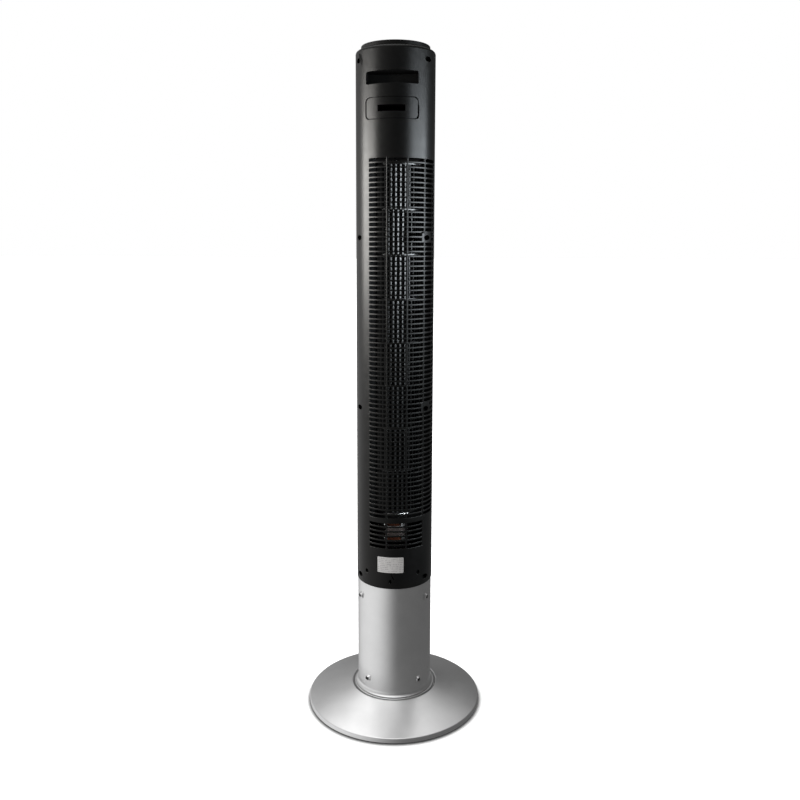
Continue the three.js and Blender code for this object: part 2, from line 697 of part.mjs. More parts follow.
// The lead from the control board runs down behind the scroll to the motor.
function motorLead() {
  const [x, y] = leadAt.toArray();
  const route = new THREE.CatmullRomCurve3(
    [
      [34, -20, 1140],
      [37, -20.5, 1122],
      [48, -21.5, 1098],
      [x, y, 1072],
      [x, y, 990],
      [x, y, 700],
      [x, y, 400],
      [x, y, 344],
      [52, -21, 332],
      [42, -17, 327],
      [31.4, -12.7, 326],
    ].map((p) => new THREE.Vector3(...p)),
  );
  const section = new THREE.Shape().absarc(0, 0, LEAD.radius, 0, 2 * Math.PI, false);
  const settings = { steps: 40, extrudePath: route, curveSegments: 3 };
  return toSolid(new THREE.ExtrudeGeometry(section, settings));
}
place(head, "motor_lead", motorLead(), RUBBER);

// ---------------------------------------------------------------- controls on top

const buttonAt = BUTTON.angles.map((a) => [BUTTON.ring * Math.sin(rad(a)), -BUTTON.ring * Math.cos(rad(a))]);
const buttonHoles = () => buttonAt.map((at) => rod(BUTTON.radius + GAP, 1140, 1170, at, 12));
const displayShape = (grow) =>
  roundedRect(-DISPLAY.half - grow, DISPLAY.half + grow, DISPLAY.from - grow, DISPLAY.to + grow, 2.5);
const displayHole = () => raised(displayShape(GAP), 1140, 1170);

// The round cap between the shells' shoulders: a sunk plate inside a raised rim, and a flange below.
function topCap() {
  const body = turned([
    [0, CAP_PLATE.bottom],
    [54.6, CAP_PLATE.bottom],
    [54.6, 1138.5],
    [62.6, 1138.5],
    [62.6, 1141],
    [CAP_R, 1141],
    [CAP_R, HEAD_TOP - 1.2],
    [CAP_R - 0.4, HEAD_TOP - 0.4],
    [CAP_R - 1.4, HEAD_TOP],
    [PANEL.radius + 0.4, HEAD_TOP],
    [PANEL.radius + 0.4, CAP_PLATE.top],
    [0, CAP_PLATE.top],
  ]);
  const posts = [[-34, 24], [34, 24], [-34, -28], [34, -28]].map((at) => rod(2.5, 1142.9, 1150, at, 6));
  return cut(joined([body, ...posts]), buttonHoles(), displayHole());
}

function controlPanel() {
  const disc = rod(PANEL.radius, PANEL.bottom, PANEL.top);
  return cut(disc, buttonHoles(), displayHole());
}

// A board with a switch under each button and the display's module.
function controlBoard() {
  const board = box(-38, 38, -36, 30, 1141, 1142.6);
  const switches = buttonAt.map(([x, y]) => box(x - 3, x + 3, y - 3, y + 3, 1142, 1145.7));
  return joined([board, ...switches, box(-18, 18, 0, 12, 1142, 1149.2)]);
}

// A button: a round cap over a flange that stops it under the plate.
function buttonGeometry() {
  const { radius, top } = BUTTON;
  return turned(
    [
      [0, 1147.2],
      [radius + 1, 1147.2],
      [radius + 1, CAP_PLATE.bottom - GAP],
      [radius, CAP_PLATE.bottom - GAP],
      [radius, top - 0.5],
      [radius - 0.5, top],
      [0, top],
    ],
    12,
  );
}

place(head, "top_cap", topCap(), BLACK);
place(head, "control_panel", controlPanel(), BLACK_GLOSS);
place(head, "display_window", raised(displayShape(0), 1149.5, PANEL.top + 0.2), BLACK_GLOSS);
place(head, "control_board", controlBoard(), BOARD);
BUTTON_NAMES.forEach((name, i) => {
  const [x, y] = buttonAt[i];
  place(head, name, buttonGeometry(), BLACK).position.set(x, y, 0);
});

export default fan;
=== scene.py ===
"""A tower fan on a round pedestal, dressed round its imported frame.

The frame is in metres. Measures below are in millimetres, and MM turns them into metres as a mesh is made.
theta is degrees round the tower's axis, 0 at the rear (+Y) and growing towards -X.
"""
import math

import bmesh
import bpy
from mathutils import Euler, Matrix, Vector

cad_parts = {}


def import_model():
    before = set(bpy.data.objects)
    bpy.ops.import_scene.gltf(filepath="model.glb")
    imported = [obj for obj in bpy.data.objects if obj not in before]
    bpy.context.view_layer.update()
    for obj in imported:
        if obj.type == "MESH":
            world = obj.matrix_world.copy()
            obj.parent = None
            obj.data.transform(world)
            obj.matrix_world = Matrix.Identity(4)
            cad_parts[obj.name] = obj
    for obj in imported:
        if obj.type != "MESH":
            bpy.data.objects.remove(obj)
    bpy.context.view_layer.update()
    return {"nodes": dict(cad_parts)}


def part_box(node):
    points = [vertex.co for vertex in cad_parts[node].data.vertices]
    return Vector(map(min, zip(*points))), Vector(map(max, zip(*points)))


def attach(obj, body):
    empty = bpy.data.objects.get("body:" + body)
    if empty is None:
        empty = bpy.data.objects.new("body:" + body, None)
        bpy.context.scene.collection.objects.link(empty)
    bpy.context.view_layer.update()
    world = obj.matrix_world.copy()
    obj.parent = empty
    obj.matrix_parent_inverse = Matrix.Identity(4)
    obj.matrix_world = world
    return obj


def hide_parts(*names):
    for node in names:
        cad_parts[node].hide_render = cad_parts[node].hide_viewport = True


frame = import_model()
MM = 0.001


def edges_of(node):
    """A CAD node's box in millimetres: x0, x1, y0, y1, z0, z1."""
    low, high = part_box(node)
    return [value / MM for pair in zip(low, high) for value in pair]


# ---- sizes

SHELL_R, SHELL_BOTTOM, SHELL_TOP = (edges_of("rear_shell")[i] for i in (3, 4, 5))
COLUMN_FOOT_R, COLUMN_BOTTOM, COLUMN_TOP = (edges_of("column")[i] for i in (1, 4, 5))
BASE_R, BASE_BOTTOM, BASE_TOP = (edges_of("base_cover")[i] for i in (1, 4, 5))
COLLAR_R, COLLAR_BOTTOM, SOCKET_TOP = (edges_of("column_socket")[i] for i in (1, 4, 5))
CAP_FLANGE_R, CAP_FLANGE_BOTTOM, HEAD_TOP = (edges_of("top_cap")[i] for i in (1, 4, 5))
WHEEL_R, WHEEL_BOTTOM, WHEEL_TOP = (edges_of("blower_wheel")[i] for i in (1, 4, 5))
MOTOR_R, MOTOR_BOTTOM = (edges_of("motor_shield_lower")[i] for i in (1, 4))
FLANGE_R, MOTOR_TOP = (edges_of("motor_shield_upper")[i] for i in (1, 5))
PLATE_BOTTOM = edges_of("motor_plate")[4]

WALL = 2.5
INNER_R = SHELL_R - WALL
COLUMN_R = SHELL_R - 1
COLUMN_WALL = 1.6
FOOT_FLARE = 8.4  # how high above its edge the column's foot runs out into the straight tube
SEAM = 0.2  # half the gap where the two shells meet
SHOULDER = 7.8  # how far below the top the shells' walls begin to turn in
SHOULDER_RADIUS = 5.2
SHOULDER_TURN = 62
CAP_R = 57.9
THETA_STEP = 3.0
CREASE = 35  # a surface that turns by more degrees than this has a sharp edge there

RIBS = [-35.7, -6.0, 23.7, 53.4, 83.1]
RIB_HALF = 1.15
RIB_TURN = 62  # how far the shading of a rib's face turns to each side
SLOT_PITCH = 8.03
SLOT_HEIGHT = 5.2
MAIN_ROWS = {"bottom": 361.9, "count": 76, "cells": 4}
MOTOR_ROWS = {"bottom": 307.4, "count": 6, "cells": 3}
PAD_ROWS = [(23, 24), (59, 60)]
PAD_THETAS = (48.4, 69.8)

SIDE_SCREW_X = sum(edges_of("shell_screw_left_1")[:2]) / 2
SIDE_SCREW_HEIGHTS = [round(sum(edges_of(f"shell_screw_left_{n}")[4:]) / 2, 3) for n in (1, 2, 3, 4)]
SIDE_SCREW_SEAT = 18.0
SIDE_BORE = 4.2
FLOOR_SCREWS = [(-40, 260.6), (1, 248), (44, 260.6)]
FLOOR_SCREW_SEAT = 64.1
FLOOR_BORE = 3.5
HANDLE = {"half": 42.8, "bottom": 1087.0, "top": 1107.0, "corner": 2.2, "back": 28.0}
POCKET = {"half": 43.8, "bottom": 1031.0, "top": 1066.0, "corner": 7.0}
REMOTE = {"half": 22.3, "bottom": 1043.2, "top": 1053.2, "corner": 0.9, "back": -20.0}
WINDOW = {"half": 46.0, "bottom": 361.0, "top": 976.0, "corner": 12.0}
LOW_SCREWS = (60.4, [45.1, 141.7, 225.1, 321.7])
HIGH_SCREWS = (209, [62.9, 183.4, 303.9])
COLUMN_SCREW_SEAT = 65.1
COLUMN_BORE = 3.2


# ---- camera and light

def put_in_scene(thing):
    bpy.context.scene.collection.objects.link(thing)


def camera():
    """Behind the fan, a little to its left, looking slightly down."""
    data = bpy.data.cameras.new("camera")
    data.lens = 37.42
    data.sensor_width = 36
    data.shift_x = 0.0063
    data.shift_y = -0.055
    camera = bpy.data.objects.new("camera", data)
    heading = math.radians(186.2)
    downward = math.radians(7.815)
    distance = 1.446
    height = 0.834
    camera.location = (distance * math.sin(heading), -distance * math.cos(heading), height)
    level = Euler((math.radians(90) - downward, 0, heading)).to_matrix()
    roll = Matrix.Rotation(math.radians(0.14), 3, "Z")
    camera.rotation_euler = (level @ roll).to_euler()
    put_in_scene(camera)
    bpy.context.scene.camera = camera


def softbox(name, azimuth, distance, height, width, length, power, colour):
    """A rectangular light that faces the tower. Azimuth 0 is at -Y, as for a view."""
    data = bpy.data.lights.new(name, "AREA")
    data.shape = "RECTANGLE"
    data.size = width
    data.size_y = length
    data.energy = power
    data.color = colour
    light = bpy.data.objects.new(name, data)
    angle = math.radians(azimuth)
    light.location = (distance * math.sin(angle), -distance * math.cos(angle), height)
    target = Vector((0, 0, 0.75))
    aim = target - light.location
    light.rotation_euler = aim.to_track_quat("-Z", "Y").to_euler()
    put_in_scene(light)
    return light


def smooth_step(tree, value, low, high):
    node = tree.nodes.new("ShaderNodeMapRange")
    node.interpolation_type = "SMOOTHSTEP"
    node.inputs["From Min"].default_value = low
    node.inputs["From Max"].default_value = high
    tree.links.new(value, node.inputs["Value"])
    return node.outputs["Result"]


def combine(tree, operation, first, second):
    """A math node on two sockets, or on a socket and a number."""
    node = tree.nodes.new("ShaderNodeMath")
    node.operation = operation
    for socket, value in zip(node.inputs, (first, second)):
        if isinstance(value, (int, float)):
            socket.default_value = value
        else:
            tree.links.new(value, socket)
    return node.outputs["Value"]


def axes(tree, kind):
    """The x, y and z of a texture coordinate."""
    place = tree.nodes.new("ShaderNodeTexCoord")
    split = tree.nodes.new("ShaderNodeSeparateXYZ")
    tree.links.new(place.outputs[kind], split.inputs["Vector"])
    return split.outputs


def studio_glow(tree):
    """How bright the studio is in each direction: pale on the left and overhead, dim on the right."""
    turn_to_rear = 0.18
    wall_dims_upward = 0.35
    ceiling_strength = 1.7
    ambient_strength = 0.14
    ambient_dims_upward = 0.05
    x, y, z = axes(tree, "Generated")
    leftward = combine(tree, "ADD", x, combine(tree, "MULTIPLY", y, turn_to_rear))
    upward = smooth_step(tree, z, -0.1, 0.2)
    wall_share = combine(tree, "SUBTRACT", 1.0, combine(tree, "MULTIPLY", upward, wall_dims_upward))
    wall_glow = combine(tree, "MULTIPLY", smooth_step(tree, leftward, -0.15, 1.05), wall_share)
    overhead = combine(tree, "MULTIPLY", smooth_step(tree, z, 0.45, 0.95), smooth_step(tree, x, -0.75, 0.2))
    glow = combine(tree, "MAXIMUM", wall_glow, combine(tree, "MULTIPLY", overhead, ceiling_strength))
    dimmed = combine(tree, "MULTIPLY", upward, ambient_dims_upward)
    return combine(tree, "ADD", glow, combine(tree, "SUBTRACT", ambient_strength, dimmed))


def world():
    """The camera sees a white backdrop. The fan sees the studio."""
    white = (1, 1, 1, 1)
    scene_world = bpy.data.worlds.new("studio")
    scene_world.use_nodes = True
    tree = scene_world.node_tree
    surround = tree.nodes["Background"]
    surround.inputs["Color"].default_value = white
    tree.links.new(studio_glow(tree), surround.inputs["Strength"])
    backdrop = tree.nodes.new("ShaderNodeBackground")
    backdrop.inputs["Color"].default_value = white
    mix = tree.nodes.new("ShaderNodeMixShader")
    path = tree.nodes.new("ShaderNodeLightPath")
    output = tree.nodes["World Output"]
    tree.links.new(path.outputs["Is Camera Ray"], mix.inputs["Fac"])
    tree.links.new(surround.outputs["Background"], mix.inputs[1])
    tree.links.new(backdrop.outputs["Background"], mix.inputs[2])
    tree.links.new(mix.outputs["Shader"], output.inputs["Surface"])
    bpy.context.scene.world = scene_world


def floor():
    """A pale floor with a painted contact shadow: its colour turns grey where ambient occlusion finds the
    base close. The fan mirrors the studio, not the floor.
    """
    shade, paint_white = 0.15, 0.95
    half = 40
    material = bpy.data.materials.new("floor_paint_and_painted_shadow")
    material.use_nodes = True
    shader = material.node_tree.nodes["Principled BSDF"]
    shader.inputs["Roughness"].default_value = 0.9
    tree = material.node_tree
    # painted shadow: the floor's colour goes from white to grey as the base comes close
    openness = tree.nodes.new("ShaderNodeAmbientOcclusion")
    openness.inputs["Distance"].default_value = 0.045
    painted_shadow_tone = tree.nodes.new("ShaderNodeMix")
    painted_shadow_tone.data_type = "RGBA"
    painted_shadow_tone.inputs["A"].default_value = (shade, shade, shade, 1)
    painted_shadow_tone.inputs["B"].default_value = (paint_white, paint_white, paint_white, 1)
    tree.links.new(smooth_step(tree, openness.outputs["AO"], 0.5, 0.97), painted_shadow_tone.inputs["Factor"])
    tree.links.new(painted_shadow_tone.outputs["Result"], shader.inputs["Base Color"])
    mesh = bpy.data.meshes.new("floor")
    corners = [(-half, -half, 0), (half, -half, 0), (half, half, 0), (-half, half, 0)]
    mesh.from_pydata(corners, [], [(0, 1, 2, 3)])
    mesh.materials.append(material)
    plane = bpy.data.objects.new("floor", mesh)
    put_in_scene(plane)
    plane.visible_glossy = False
    plane.visible_diffuse = False
    return plane


def shine_on(light, pieces, only):
    """Lights nothing but the pieces, or everything but them."""
    group = bpy.data.collections.new(light.name + "_on")
    for piece in pieces:
        group.objects.link(piece)
    light.light_linking.receiver_collection = group
    for entry in group.collection_objects:
        entry.light_linking.link_state = "INCLUDE" if only else "EXCLUDE"


def lights(pale_pieces, plane):
    """Two softboxes for all but the pale pieces, which have the studio's glow. The floor has its own sun."""
    key = softbox("key_left", 104, 1.7, 0.97, 1.4, 0.6, 110, (1.0, 0.98, 0.94))
    fill = softbox("fill_right", 256, 1.7, 0.94, 1.7, 0.6, 100, (0.88, 0.95, 1.0))
    data = bpy.data.lights.new("floor_wash", "SUN")
    data.energy = 3.2
    data.angle = math.radians(130)
    wash = bpy.data.objects.new("floor_wash", data)
    wash.rotation_euler = (math.radians(-6), math.radians(6), 0)
    put_in_scene(wash)
    shine_on(key, pale_pieces, False)
    shine_on(fill, pale_pieces, False)
    shine_on(wash, [plane], True)


# ---- materials

def grey(level):
    return level, level, level


def new_material(name, colour, roughness, metallic=0.0, specular=0.5):
    material = bpy.data.materials.new(name)
    material.use_nodes = True
    shader = material.node_tree.nodes["Principled BSDF"]
    shader.inputs["Base Color"].default_value = (*colour, 1)
    shader.inputs["Roughness"].default_value = roughness
    shader.inputs["Metallic"].default_value = metallic
    shader.inputs["Specular IOR Level"].default_value = specular
    return material


def noise(tree, scale, detail, stretch):
    """Noise in the object's own metres, with features about 1/scale wide."""
    place = tree.nodes.new("ShaderNodeTexCoord")
    mapping = tree.nodes.new("ShaderNodeMapping")
    mapping.inputs["Scale"].default_value = stretch
    texture = tree.nodes.new("ShaderNodeTexNoise")
    texture.inputs["Scale"].default_value = scale
    texture.inputs["Detail"].default_value = detail
    tree.links.new(place.outputs["Object"], mapping.inputs["Vector"])
    tree.links.new(mapping.outputs["Vector"], texture.inputs["Vector"])
    return texture.outputs["Fac"]


def remap(tree, value, low, high):
    """A noise value, mostly 0.3 to 0.7, spread over low to high."""
    node = tree.nodes.new("ShaderNodeMapRange")
    node.inputs["From Min"].default_value = 0.3
    node.inputs["From Max"].default_value = 0.7
    node.inputs["To Min"].default_value = low
    node.inputs["To Max"].default_value = high
    tree.links.new(value, node.inputs["Value"])
    return node.outputs["Result"]


def blend_colours(tree, factor, first, second):
    node = tree.nodes.new("ShaderNodeMix")
    node.data_type = "RGBA"
    node.inputs["A"].default_value = (*first, 1)
    node.inputs["B"].default_value = (*second, 1)
    tree.links.new(factor, node.inputs["Factor"])
    return node.outputs["Result"]


def bump(tree, height, distance):
    node = tree.nodes.new("ShaderNodeBump")
    node.inputs["Strength"].default_value = 1.0
    node.inputs["Distance"].default_value = distance
    tree.links.new(height, node.inputs["Height"])
    return node.outputs["Normal"]


def dress(material, colours, mottle, roughness, grain, depth, stretch=(1, 1, 1)):
    """Colour that varies over mottle, roughness that varies finely, and a fine grain in the surface."""
    tree = material.node_tree
    shader = tree.nodes["Principled BSDF"]
    tint = remap(tree, noise(tree, mottle, 3.0, stretch), 0, 1)
    tree.links.new(blend_colours(tree, tint, *colours), shader.inputs["Base Color"])
    shine = remap(tree, noise(tree, mottle * 6, 2.0, stretch), *roughness)
    tree.links.new(shine, shader.inputs["Roughness"])
    tree.links.new(bump(tree, noise(tree, grain, 1.0, stretch), depth), shader.inputs["Normal"])
    return material


def moulded_black():
    material = new_material("moulded_black", grey(0.002), 0.32, specular=0.12)
    colours = [(0.0014, 0.0014, 0.0013), (0.0024, 0.0023, 0.0022)]
    return dress(material, colours, 18, (0.29, 0.35), 2600, 0.00003)


def inner_black():
    material = new_material("inner_black", grey(0.002), 0.5, specular=0.12)
    return dress(material, [grey(0.0014), grey(0.0026)], 30, (0.42, 0.56), 1800, 0.00004)


def wheel_black():
    """A shinier plastic than the head's."""
    material = new_material("wheel_black", grey(0.003), 0.3, specular=0.42)
    return dress(material, [grey(0.002), grey(0.004)], 30, (0.27, 0.33), 1800, 0.00002)


def silver_paint():
    material = new_material("silver_paint", grey(0.7), 0.36, metallic=0.85)
    return dress(material, [grey(0.69), grey(0.75)], 22, (0.28, 0.34), 3200, 0.00002)


def gloss_black():
    material = new_material("gloss_black", (0.004, 0.004, 0.005), 0.12)
    return dress(material, [(0.003, 0.003, 0.004), (0.005, 0.005, 0.006)], 25, (0.08, 0.16), 300, 0.00001)


def button_grey():
    material = new_material("button_grey", (0.03, 0.03, 0.032), 0.45)
    return dress(material, [(0.028, 0.028, 0.03), (0.036, 0.036, 0.038)], 60, (0.4, 0.5), 2600, 0.00003)


def zinc_steel():
    material = new_material("zinc_steel", (0.55, 0.55, 0.56), 0.3, metallic=1.0)
    return dress(material, [(0.5, 0.5, 0.51), (0.62, 0.62, 0.63)], 40, (0.22, 0.4), 900, 0.00002, (1, 1, 5))


def black_screw():
    material = new_material("black_screw", grey(0.002), 0.8, specular=0.0)
    return dress(material, [grey(0.0014), grey(0.0026)], 120, (0.74, 0.88), 1500, 0.00002)


def copper_wire():
    material = new_material("copper_wire", (0.1, 0.03, 0.015), 0.4, metallic=0.5)
    return dress(material, [(0.08, 0.022, 0.01), (0.14, 0.045, 0.02)], 90, (0.35, 0.5), 1500, 0.00003)


def cast_alloy():
    material = new_material("cast_alloy", grey(0.7), 0.34, metallic=1.0)
    return dress(material, [(0.46, 0.46, 0.45), (0.6, 0.6, 0.59)], 70, (0.3, 0.44), 1600, 0.00003)


def core_plates():
    """The oiled sheets of the motor's core."""
    material = new_material("core_plates", (0.2, 0.17, 0.16), 0.36, metallic=0.9)
    return dress(material, [(0.16, 0.13, 0.12), (0.26, 0.23, 0.22)], 110, (0.3, 0.42), 1400, 0.00003)


def white_nylon():
    material = new_material("white_nylon", (0.8, 0.79, 0.74), 0.45)
    return dress(material, [(0.74, 0.73, 0.68), (0.82, 0.81, 0.77)], 50, (0.38, 0.5), 1500, 0.00003)


def soft_rubber():
    material = new_material("soft_rubber", grey(0.015), 0.8, specular=0.3)
    return dress(material, [grey(0.012), (0.022, 0.021, 0.02)], 60, (0.7, 0.9), 1800, 0.00005)


def circuit_green():
    material = new_material("circuit_green", (0.02, 0.12, 0.05), 0.5)
    return dress(material, [(0.012, 0.09, 0.035), (0.03, 0.15, 0.07)], 160, (0.35, 0.55), 900, 0.00004)


def label_film():
    """Pale film with faint rows of marks that say nothing."""
    material = new_material("label_film", (0.8, 0.78, 0.76), 0.5)
    dress(material, [(0.9, 0.88, 0.86), (0.98, 0.96, 0.94)], 45, (0.42, 0.55), 900, 0.00002)
    tree = material.node_tree
    shader = tree.nodes["Principled BSDF"]
    paper = shader.inputs["Base Color"].links[0].from_socket
    row = combine(tree, "PINGPONG", axes(tree, "Object")["Z"], 0.0016)
    rows = smooth_step(tree, row, 0.0009, 0.0012)
    marks = smooth_step(tree, noise(tree, 700, 1.0, (1, 1, 0.15)), 0.46, 0.54)
    ink = combine(tree, "MULTIPLY", combine(tree, "MULTIPLY", rows, marks), 0.5)
    mix = tree.nodes.new("ShaderNodeMix")
    mix.data_type = "RGBA"
    mix.inputs["B"].default_value = (0.2, 0.19, 0.2, 1)
    tree.links.new(ink, mix.inputs["Factor"])
    tree.links.new(paper, mix.inputs["A"])
    tree.links.new(mix.outputs["Result"], shader.inputs["Base Color"])
    return material


# ---- meshes

def polar(theta, r):
    angle = math.radians(theta)
    return -r * math.sin(angle), r * math.cos(angle)


def at(theta, r, z):
    return (*polar(theta, r), z)


def shade(mesh):
    mesh.shade_smooth()
    mesh.set_sharp_from_angle(angle=math.radians(CREASE))


def make(name, verts, faces, material):
    """A smooth mesh object from points in millimetres."""
    mesh = bpy.data.meshes.new(name)
    mesh.from_pydata([Vector(v) * MM for v in verts], [], faces)
    mesh.validate()
    shade(mesh)
    mesh.materials.append(material)
    piece = bpy.data.objects.new(name, mesh)
    put_in_scene(piece)
    return piece


def settle(piece):
    """Puts what the modifiers make into the mesh."""
    depsgraph = bpy.context.evaluated_depsgraph_get()
    mesh = bpy.data.meshes.new_from_object(piece.evaluated_get(depsgraph))
    piece.modifiers.clear()
    piece.data = mesh
    return piece


def soften(piece, width):
    """Rounds the piece's sharp edges in its mesh."""
    modifier = piece.modifiers.new("rounded_edges", "BEVEL")
    modifier.width = width * MM
    modifier.segments = 2
    modifier.limit_method = "ANGLE"
    modifier.angle_limit = math.radians(CREASE)
    modifier.harden_normals = True
    modifier.use_clamp_overlap = False
    return settle(piece)


def true_round(piece, radius, low, high):
    """Shades the piece's wall of that radius, from low to high, as a true cylinder, whatever its facets."""
    slack, height_slack = 0.6, 0.01
    mesh = piece.data
    normals = [corner.vector.copy() for corner in mesh.corner_normals]
    outward = [Vector((vertex.co.x, vertex.co.y, 0)).normalized() for vertex in mesh.vertices]
    near = [abs(vertex.co.xy.length - radius * MM) < slack * MM
            and (low - height_slack) * MM < vertex.co.z < (high + height_slack) * MM
            for vertex in mesh.vertices]
    on_wall = set()
    for polygon in mesh.polygons:
        faces_out = polygon.normal.dot(outward[polygon.vertices[0]]) > 0.95
        if faces_out and all(near[n] for n in polygon.vertices):
            on_wall.update(polygon.vertices)
    for corner in mesh.loops:
        vertex = corner.vertex_index
        if vertex in on_wall and normals[corner.index].dot(outward[vertex]) > 0.6:
            normals[corner.index] = outward[vertex]
    mesh.normals_split_custom_set(normals)
    return piece


def carve(piece, cutters):
    for cutter in cutters:
        modifier = piece.modifiers.new("cut", "BOOLEAN")
        modifier.object = cutter
        modifier.solver = "EXACT"
    settle(piece)
    for cutter in cutters:
        bpy.data.objects.remove(cutter)
    shade(piece.data)
    return piece


def fit(piece, body, slot, *nodes):
    """The piece rides on body and stands for the CAD nodes. slot is not used."""
    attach(piece, body)
    if nodes:
        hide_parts(*nodes)
    return piece


def lathe(name, outline, material, segments, centre=(0, 0)):
    """Turned about an upright axis from a closed outline of (radius, z) points, anticlockwise."""
    verts = []
    rings = []
    for r, z in outline:
        if r == 0:
            rings.append([len(verts)] * segments)
            verts.append((centre[0], centre[1], z))
            continue
        rings.append(list(range(len(verts), len(verts) + segments)))
        for k in range(segments):
            x, y = polar(360 * k / segments, r)
            verts.append((centre[0] + x, centre[1] + y, z))
    faces = []
    for i, ring in enumerate(rings):
        after = rings[(i + 1) % len(rings)]
        for k in range(segments):
            n = (k + 1) % segments
            corners = []
            for corner in (ring[k], ring[n], after[n], after[k]):
                if corner not in corners:
                    corners.append(corner)
            if len(corners) > 2:
                faces.append(corners)
    return make(name, verts, faces, material)


def disc_outline(radius, z0, z1):
    return [(0, z0), (radius, z0), (radius, z1), (0, z1)]


def arc(cx, cy, radius, start, end, steps):
    """Points on an arc, angles in degrees."""
    angles = [math.radians(start + (end - start) * i / steps) for i in range(steps + 1)]
    return [(cx + radius * math.cos(a), cy + radius * math.sin(a)) for a in angles]


def rounded_rect(half, bottom, top, corner, side_steps=8):
    """Anticlockwise outline in the plane of the first two axes, with the same count of points at any size."""
    corner_steps = 6
    left, right = -half + corner, half - corner
    low, high = bottom + corner, top - corner
    quarters = [
        ((right, low), (-90, 0), (right + corner, low), (right + corner, high)),
        ((right, high), (0, 90), (right, high + corner), (left, high + corner)),
        ((left, high), (90, 180), (left - corner, high), (left - corner, low)),
        ((left, low), (180, 270), (left, low - corner), (right, low - corner)),
    ]
    points = []
    for (cx, cy), (start, end), first, last in quarters:
        points += arc(cx, cy, corner, start, end, corner_steps)
        for i in range(1, side_steps):
            share = i / side_steps
            points.append((first[0] + (last[0] - first[0]) * share, first[1] + (last[1] - first[1]) * share))
    return points


def outline_of(opening, grow=0, side_steps=8):
    """The outline of one of the head's openings, grown all round."""
    bottom, top = opening["bottom"] - grow, opening["top"] + grow
    return rounded_rect(opening["half"] + grow, bottom, top, opening["corner"] + grow, side_steps)


def circle(cx, cy, radius):
    return arc(cx, cy, radius, 0, 360, 32)[:-1]


def rear_theta(x, r):
    return -math.degrees(math.asin(x / r))


def front_theta(x, r):
    return 180 + math.degrees(math.asin(x / r))


def drilled(points, block, to_theta=rear_theta):
    """A hole cut along Y: its outline in (x, z), as seen on the outer and on the inner wall."""
    flip = -1 if to_theta is rear_theta else 1
    ordered = points if flip > 0 else points[::-1]
    return {
        "block": block,
        "outer": [(to_theta(x, SHELL_R), z) for x, z in ordered],
        "inner": [(to_theta(x, INNER_R), z) for x, z in ordered],
    }


def radial_hole(theta, z, radius, r):
    """A round hole cut along the radius."""
    half_theta, half_z = 4.5, 5.0
    loop = [(theta + math.degrees(u / r), v + z) for u, v in circle(0, 0, radius)]
    block = (theta - half_theta, theta + half_theta, z - half_z, z + half_z)
    return {"block": block, "outer": loop, "inner": loop}


def by_angle(loop, centre):
    """The loop's points with their angles round the centre, from the lowest, as if it were square."""
    half_t = max(abs(t - centre[0]) for t, _ in loop)
    half_z = max(abs(z - centre[1]) for _, z in loop)
    return sorted((math.atan2((z - centre[1]) / half_z, (t - centre[0]) / half_t), n)
                  for n, (t, z) in enumerate(loop))


def bridge(around, within):
    """Triangles between two rings, each a list of (angle, vertex) sorted by angle."""
    faces = []
    i = j = 0
    first, second = len(around), len(within)
    while i < first or j < second:
        next_i = around[(i + 1) % first][0] + 2 * math.pi * ((i + 1) // first)
        next_j = within[(j + 1) % second][0] + 2 * math.pi * ((j + 1) // second)
        a, b = around[i % first][1], within[j % second][1]
        if j == second or (i < first and next_i <= next_j):
            faces.append((a, around[(i + 1) % first][1], b))
            i += 1
        else:
            faces.append((a, within[(j + 1) % second][1], b))
            j += 1
    return faces


def wall(name, thetas, outer, inner, material, is_open=None, holes=(), closed=False):
    """A round wall with openings.

    thetas are its upright grid lines; outer and inner give (r, z) at each level. is_open tells the grid's
    open cells by the theta and z of their middle. Each hole clears its block of cells and fills in round
    its own outline, whose points stand at the radius of the wall's lowest level.
    """
    columns = len(thetas) - 1
    rows = len(outer) - 1
    z_of = [z for _, z in outer]
    verts = []
    known = {}

    def vertex(side, i, k):
        i = i % columns if closed else i
        key = (side, i, k)
        if key not in known:
            r, z = (outer, inner)[side][k]
            known[key] = len(verts)
            verts.append(at(thetas[i], r, z))
        return known[key]

    def in_hole(theta, z):
        return any(t0 < theta < t1 and z0 < z < z1 for t0, t1, z0, z1 in (h["block"] for h in holes))

    solid = set()
    bare = set()
    for i in range(columns):
        for k in range(rows):
            theta = (thetas[i] + thetas[i + 1]) / 2
            z = (z_of[k] + z_of[k + 1]) / 2
            if in_hole(theta, z):
                bare.add((i, k))
            elif not (is_open and is_open(theta, z)):
                solid.add((i, k))
    faces = []

    def beyond(i, k):
        i = i % columns if closed else i
        return (i, k) not in solid and (i, k) not in bare

    for i, k in sorted(solid):
        o = [vertex(0, i, k), vertex(0, i + 1, k), vertex(0, i + 1, k + 1), vertex(0, i, k + 1)]
        n = [vertex(1, i, k), vertex(1, i + 1, k), vertex(1, i + 1, k + 1), vertex(1, i, k + 1)]
        faces += [tuple(o), tuple(reversed(n))]
        if beyond(i - 1, k):
            faces.append((o[0], o[3], n[3], n[0]))
        if beyond(i + 1, k):
            faces.append((o[2], o[1], n[1], n[2]))
        if beyond(i, k - 1):
            faces.append((n[0], n[1], o[1], o[0]))
        if beyond(i, k + 1):
            faces.append((o[3], o[2], n[2], n[3]))
    for hole in holes:
        faces += fill_round(hole, thetas, z_of, vertex, verts, outer[0][0], inner[0][0])
    return make(name, verts, faces, material)


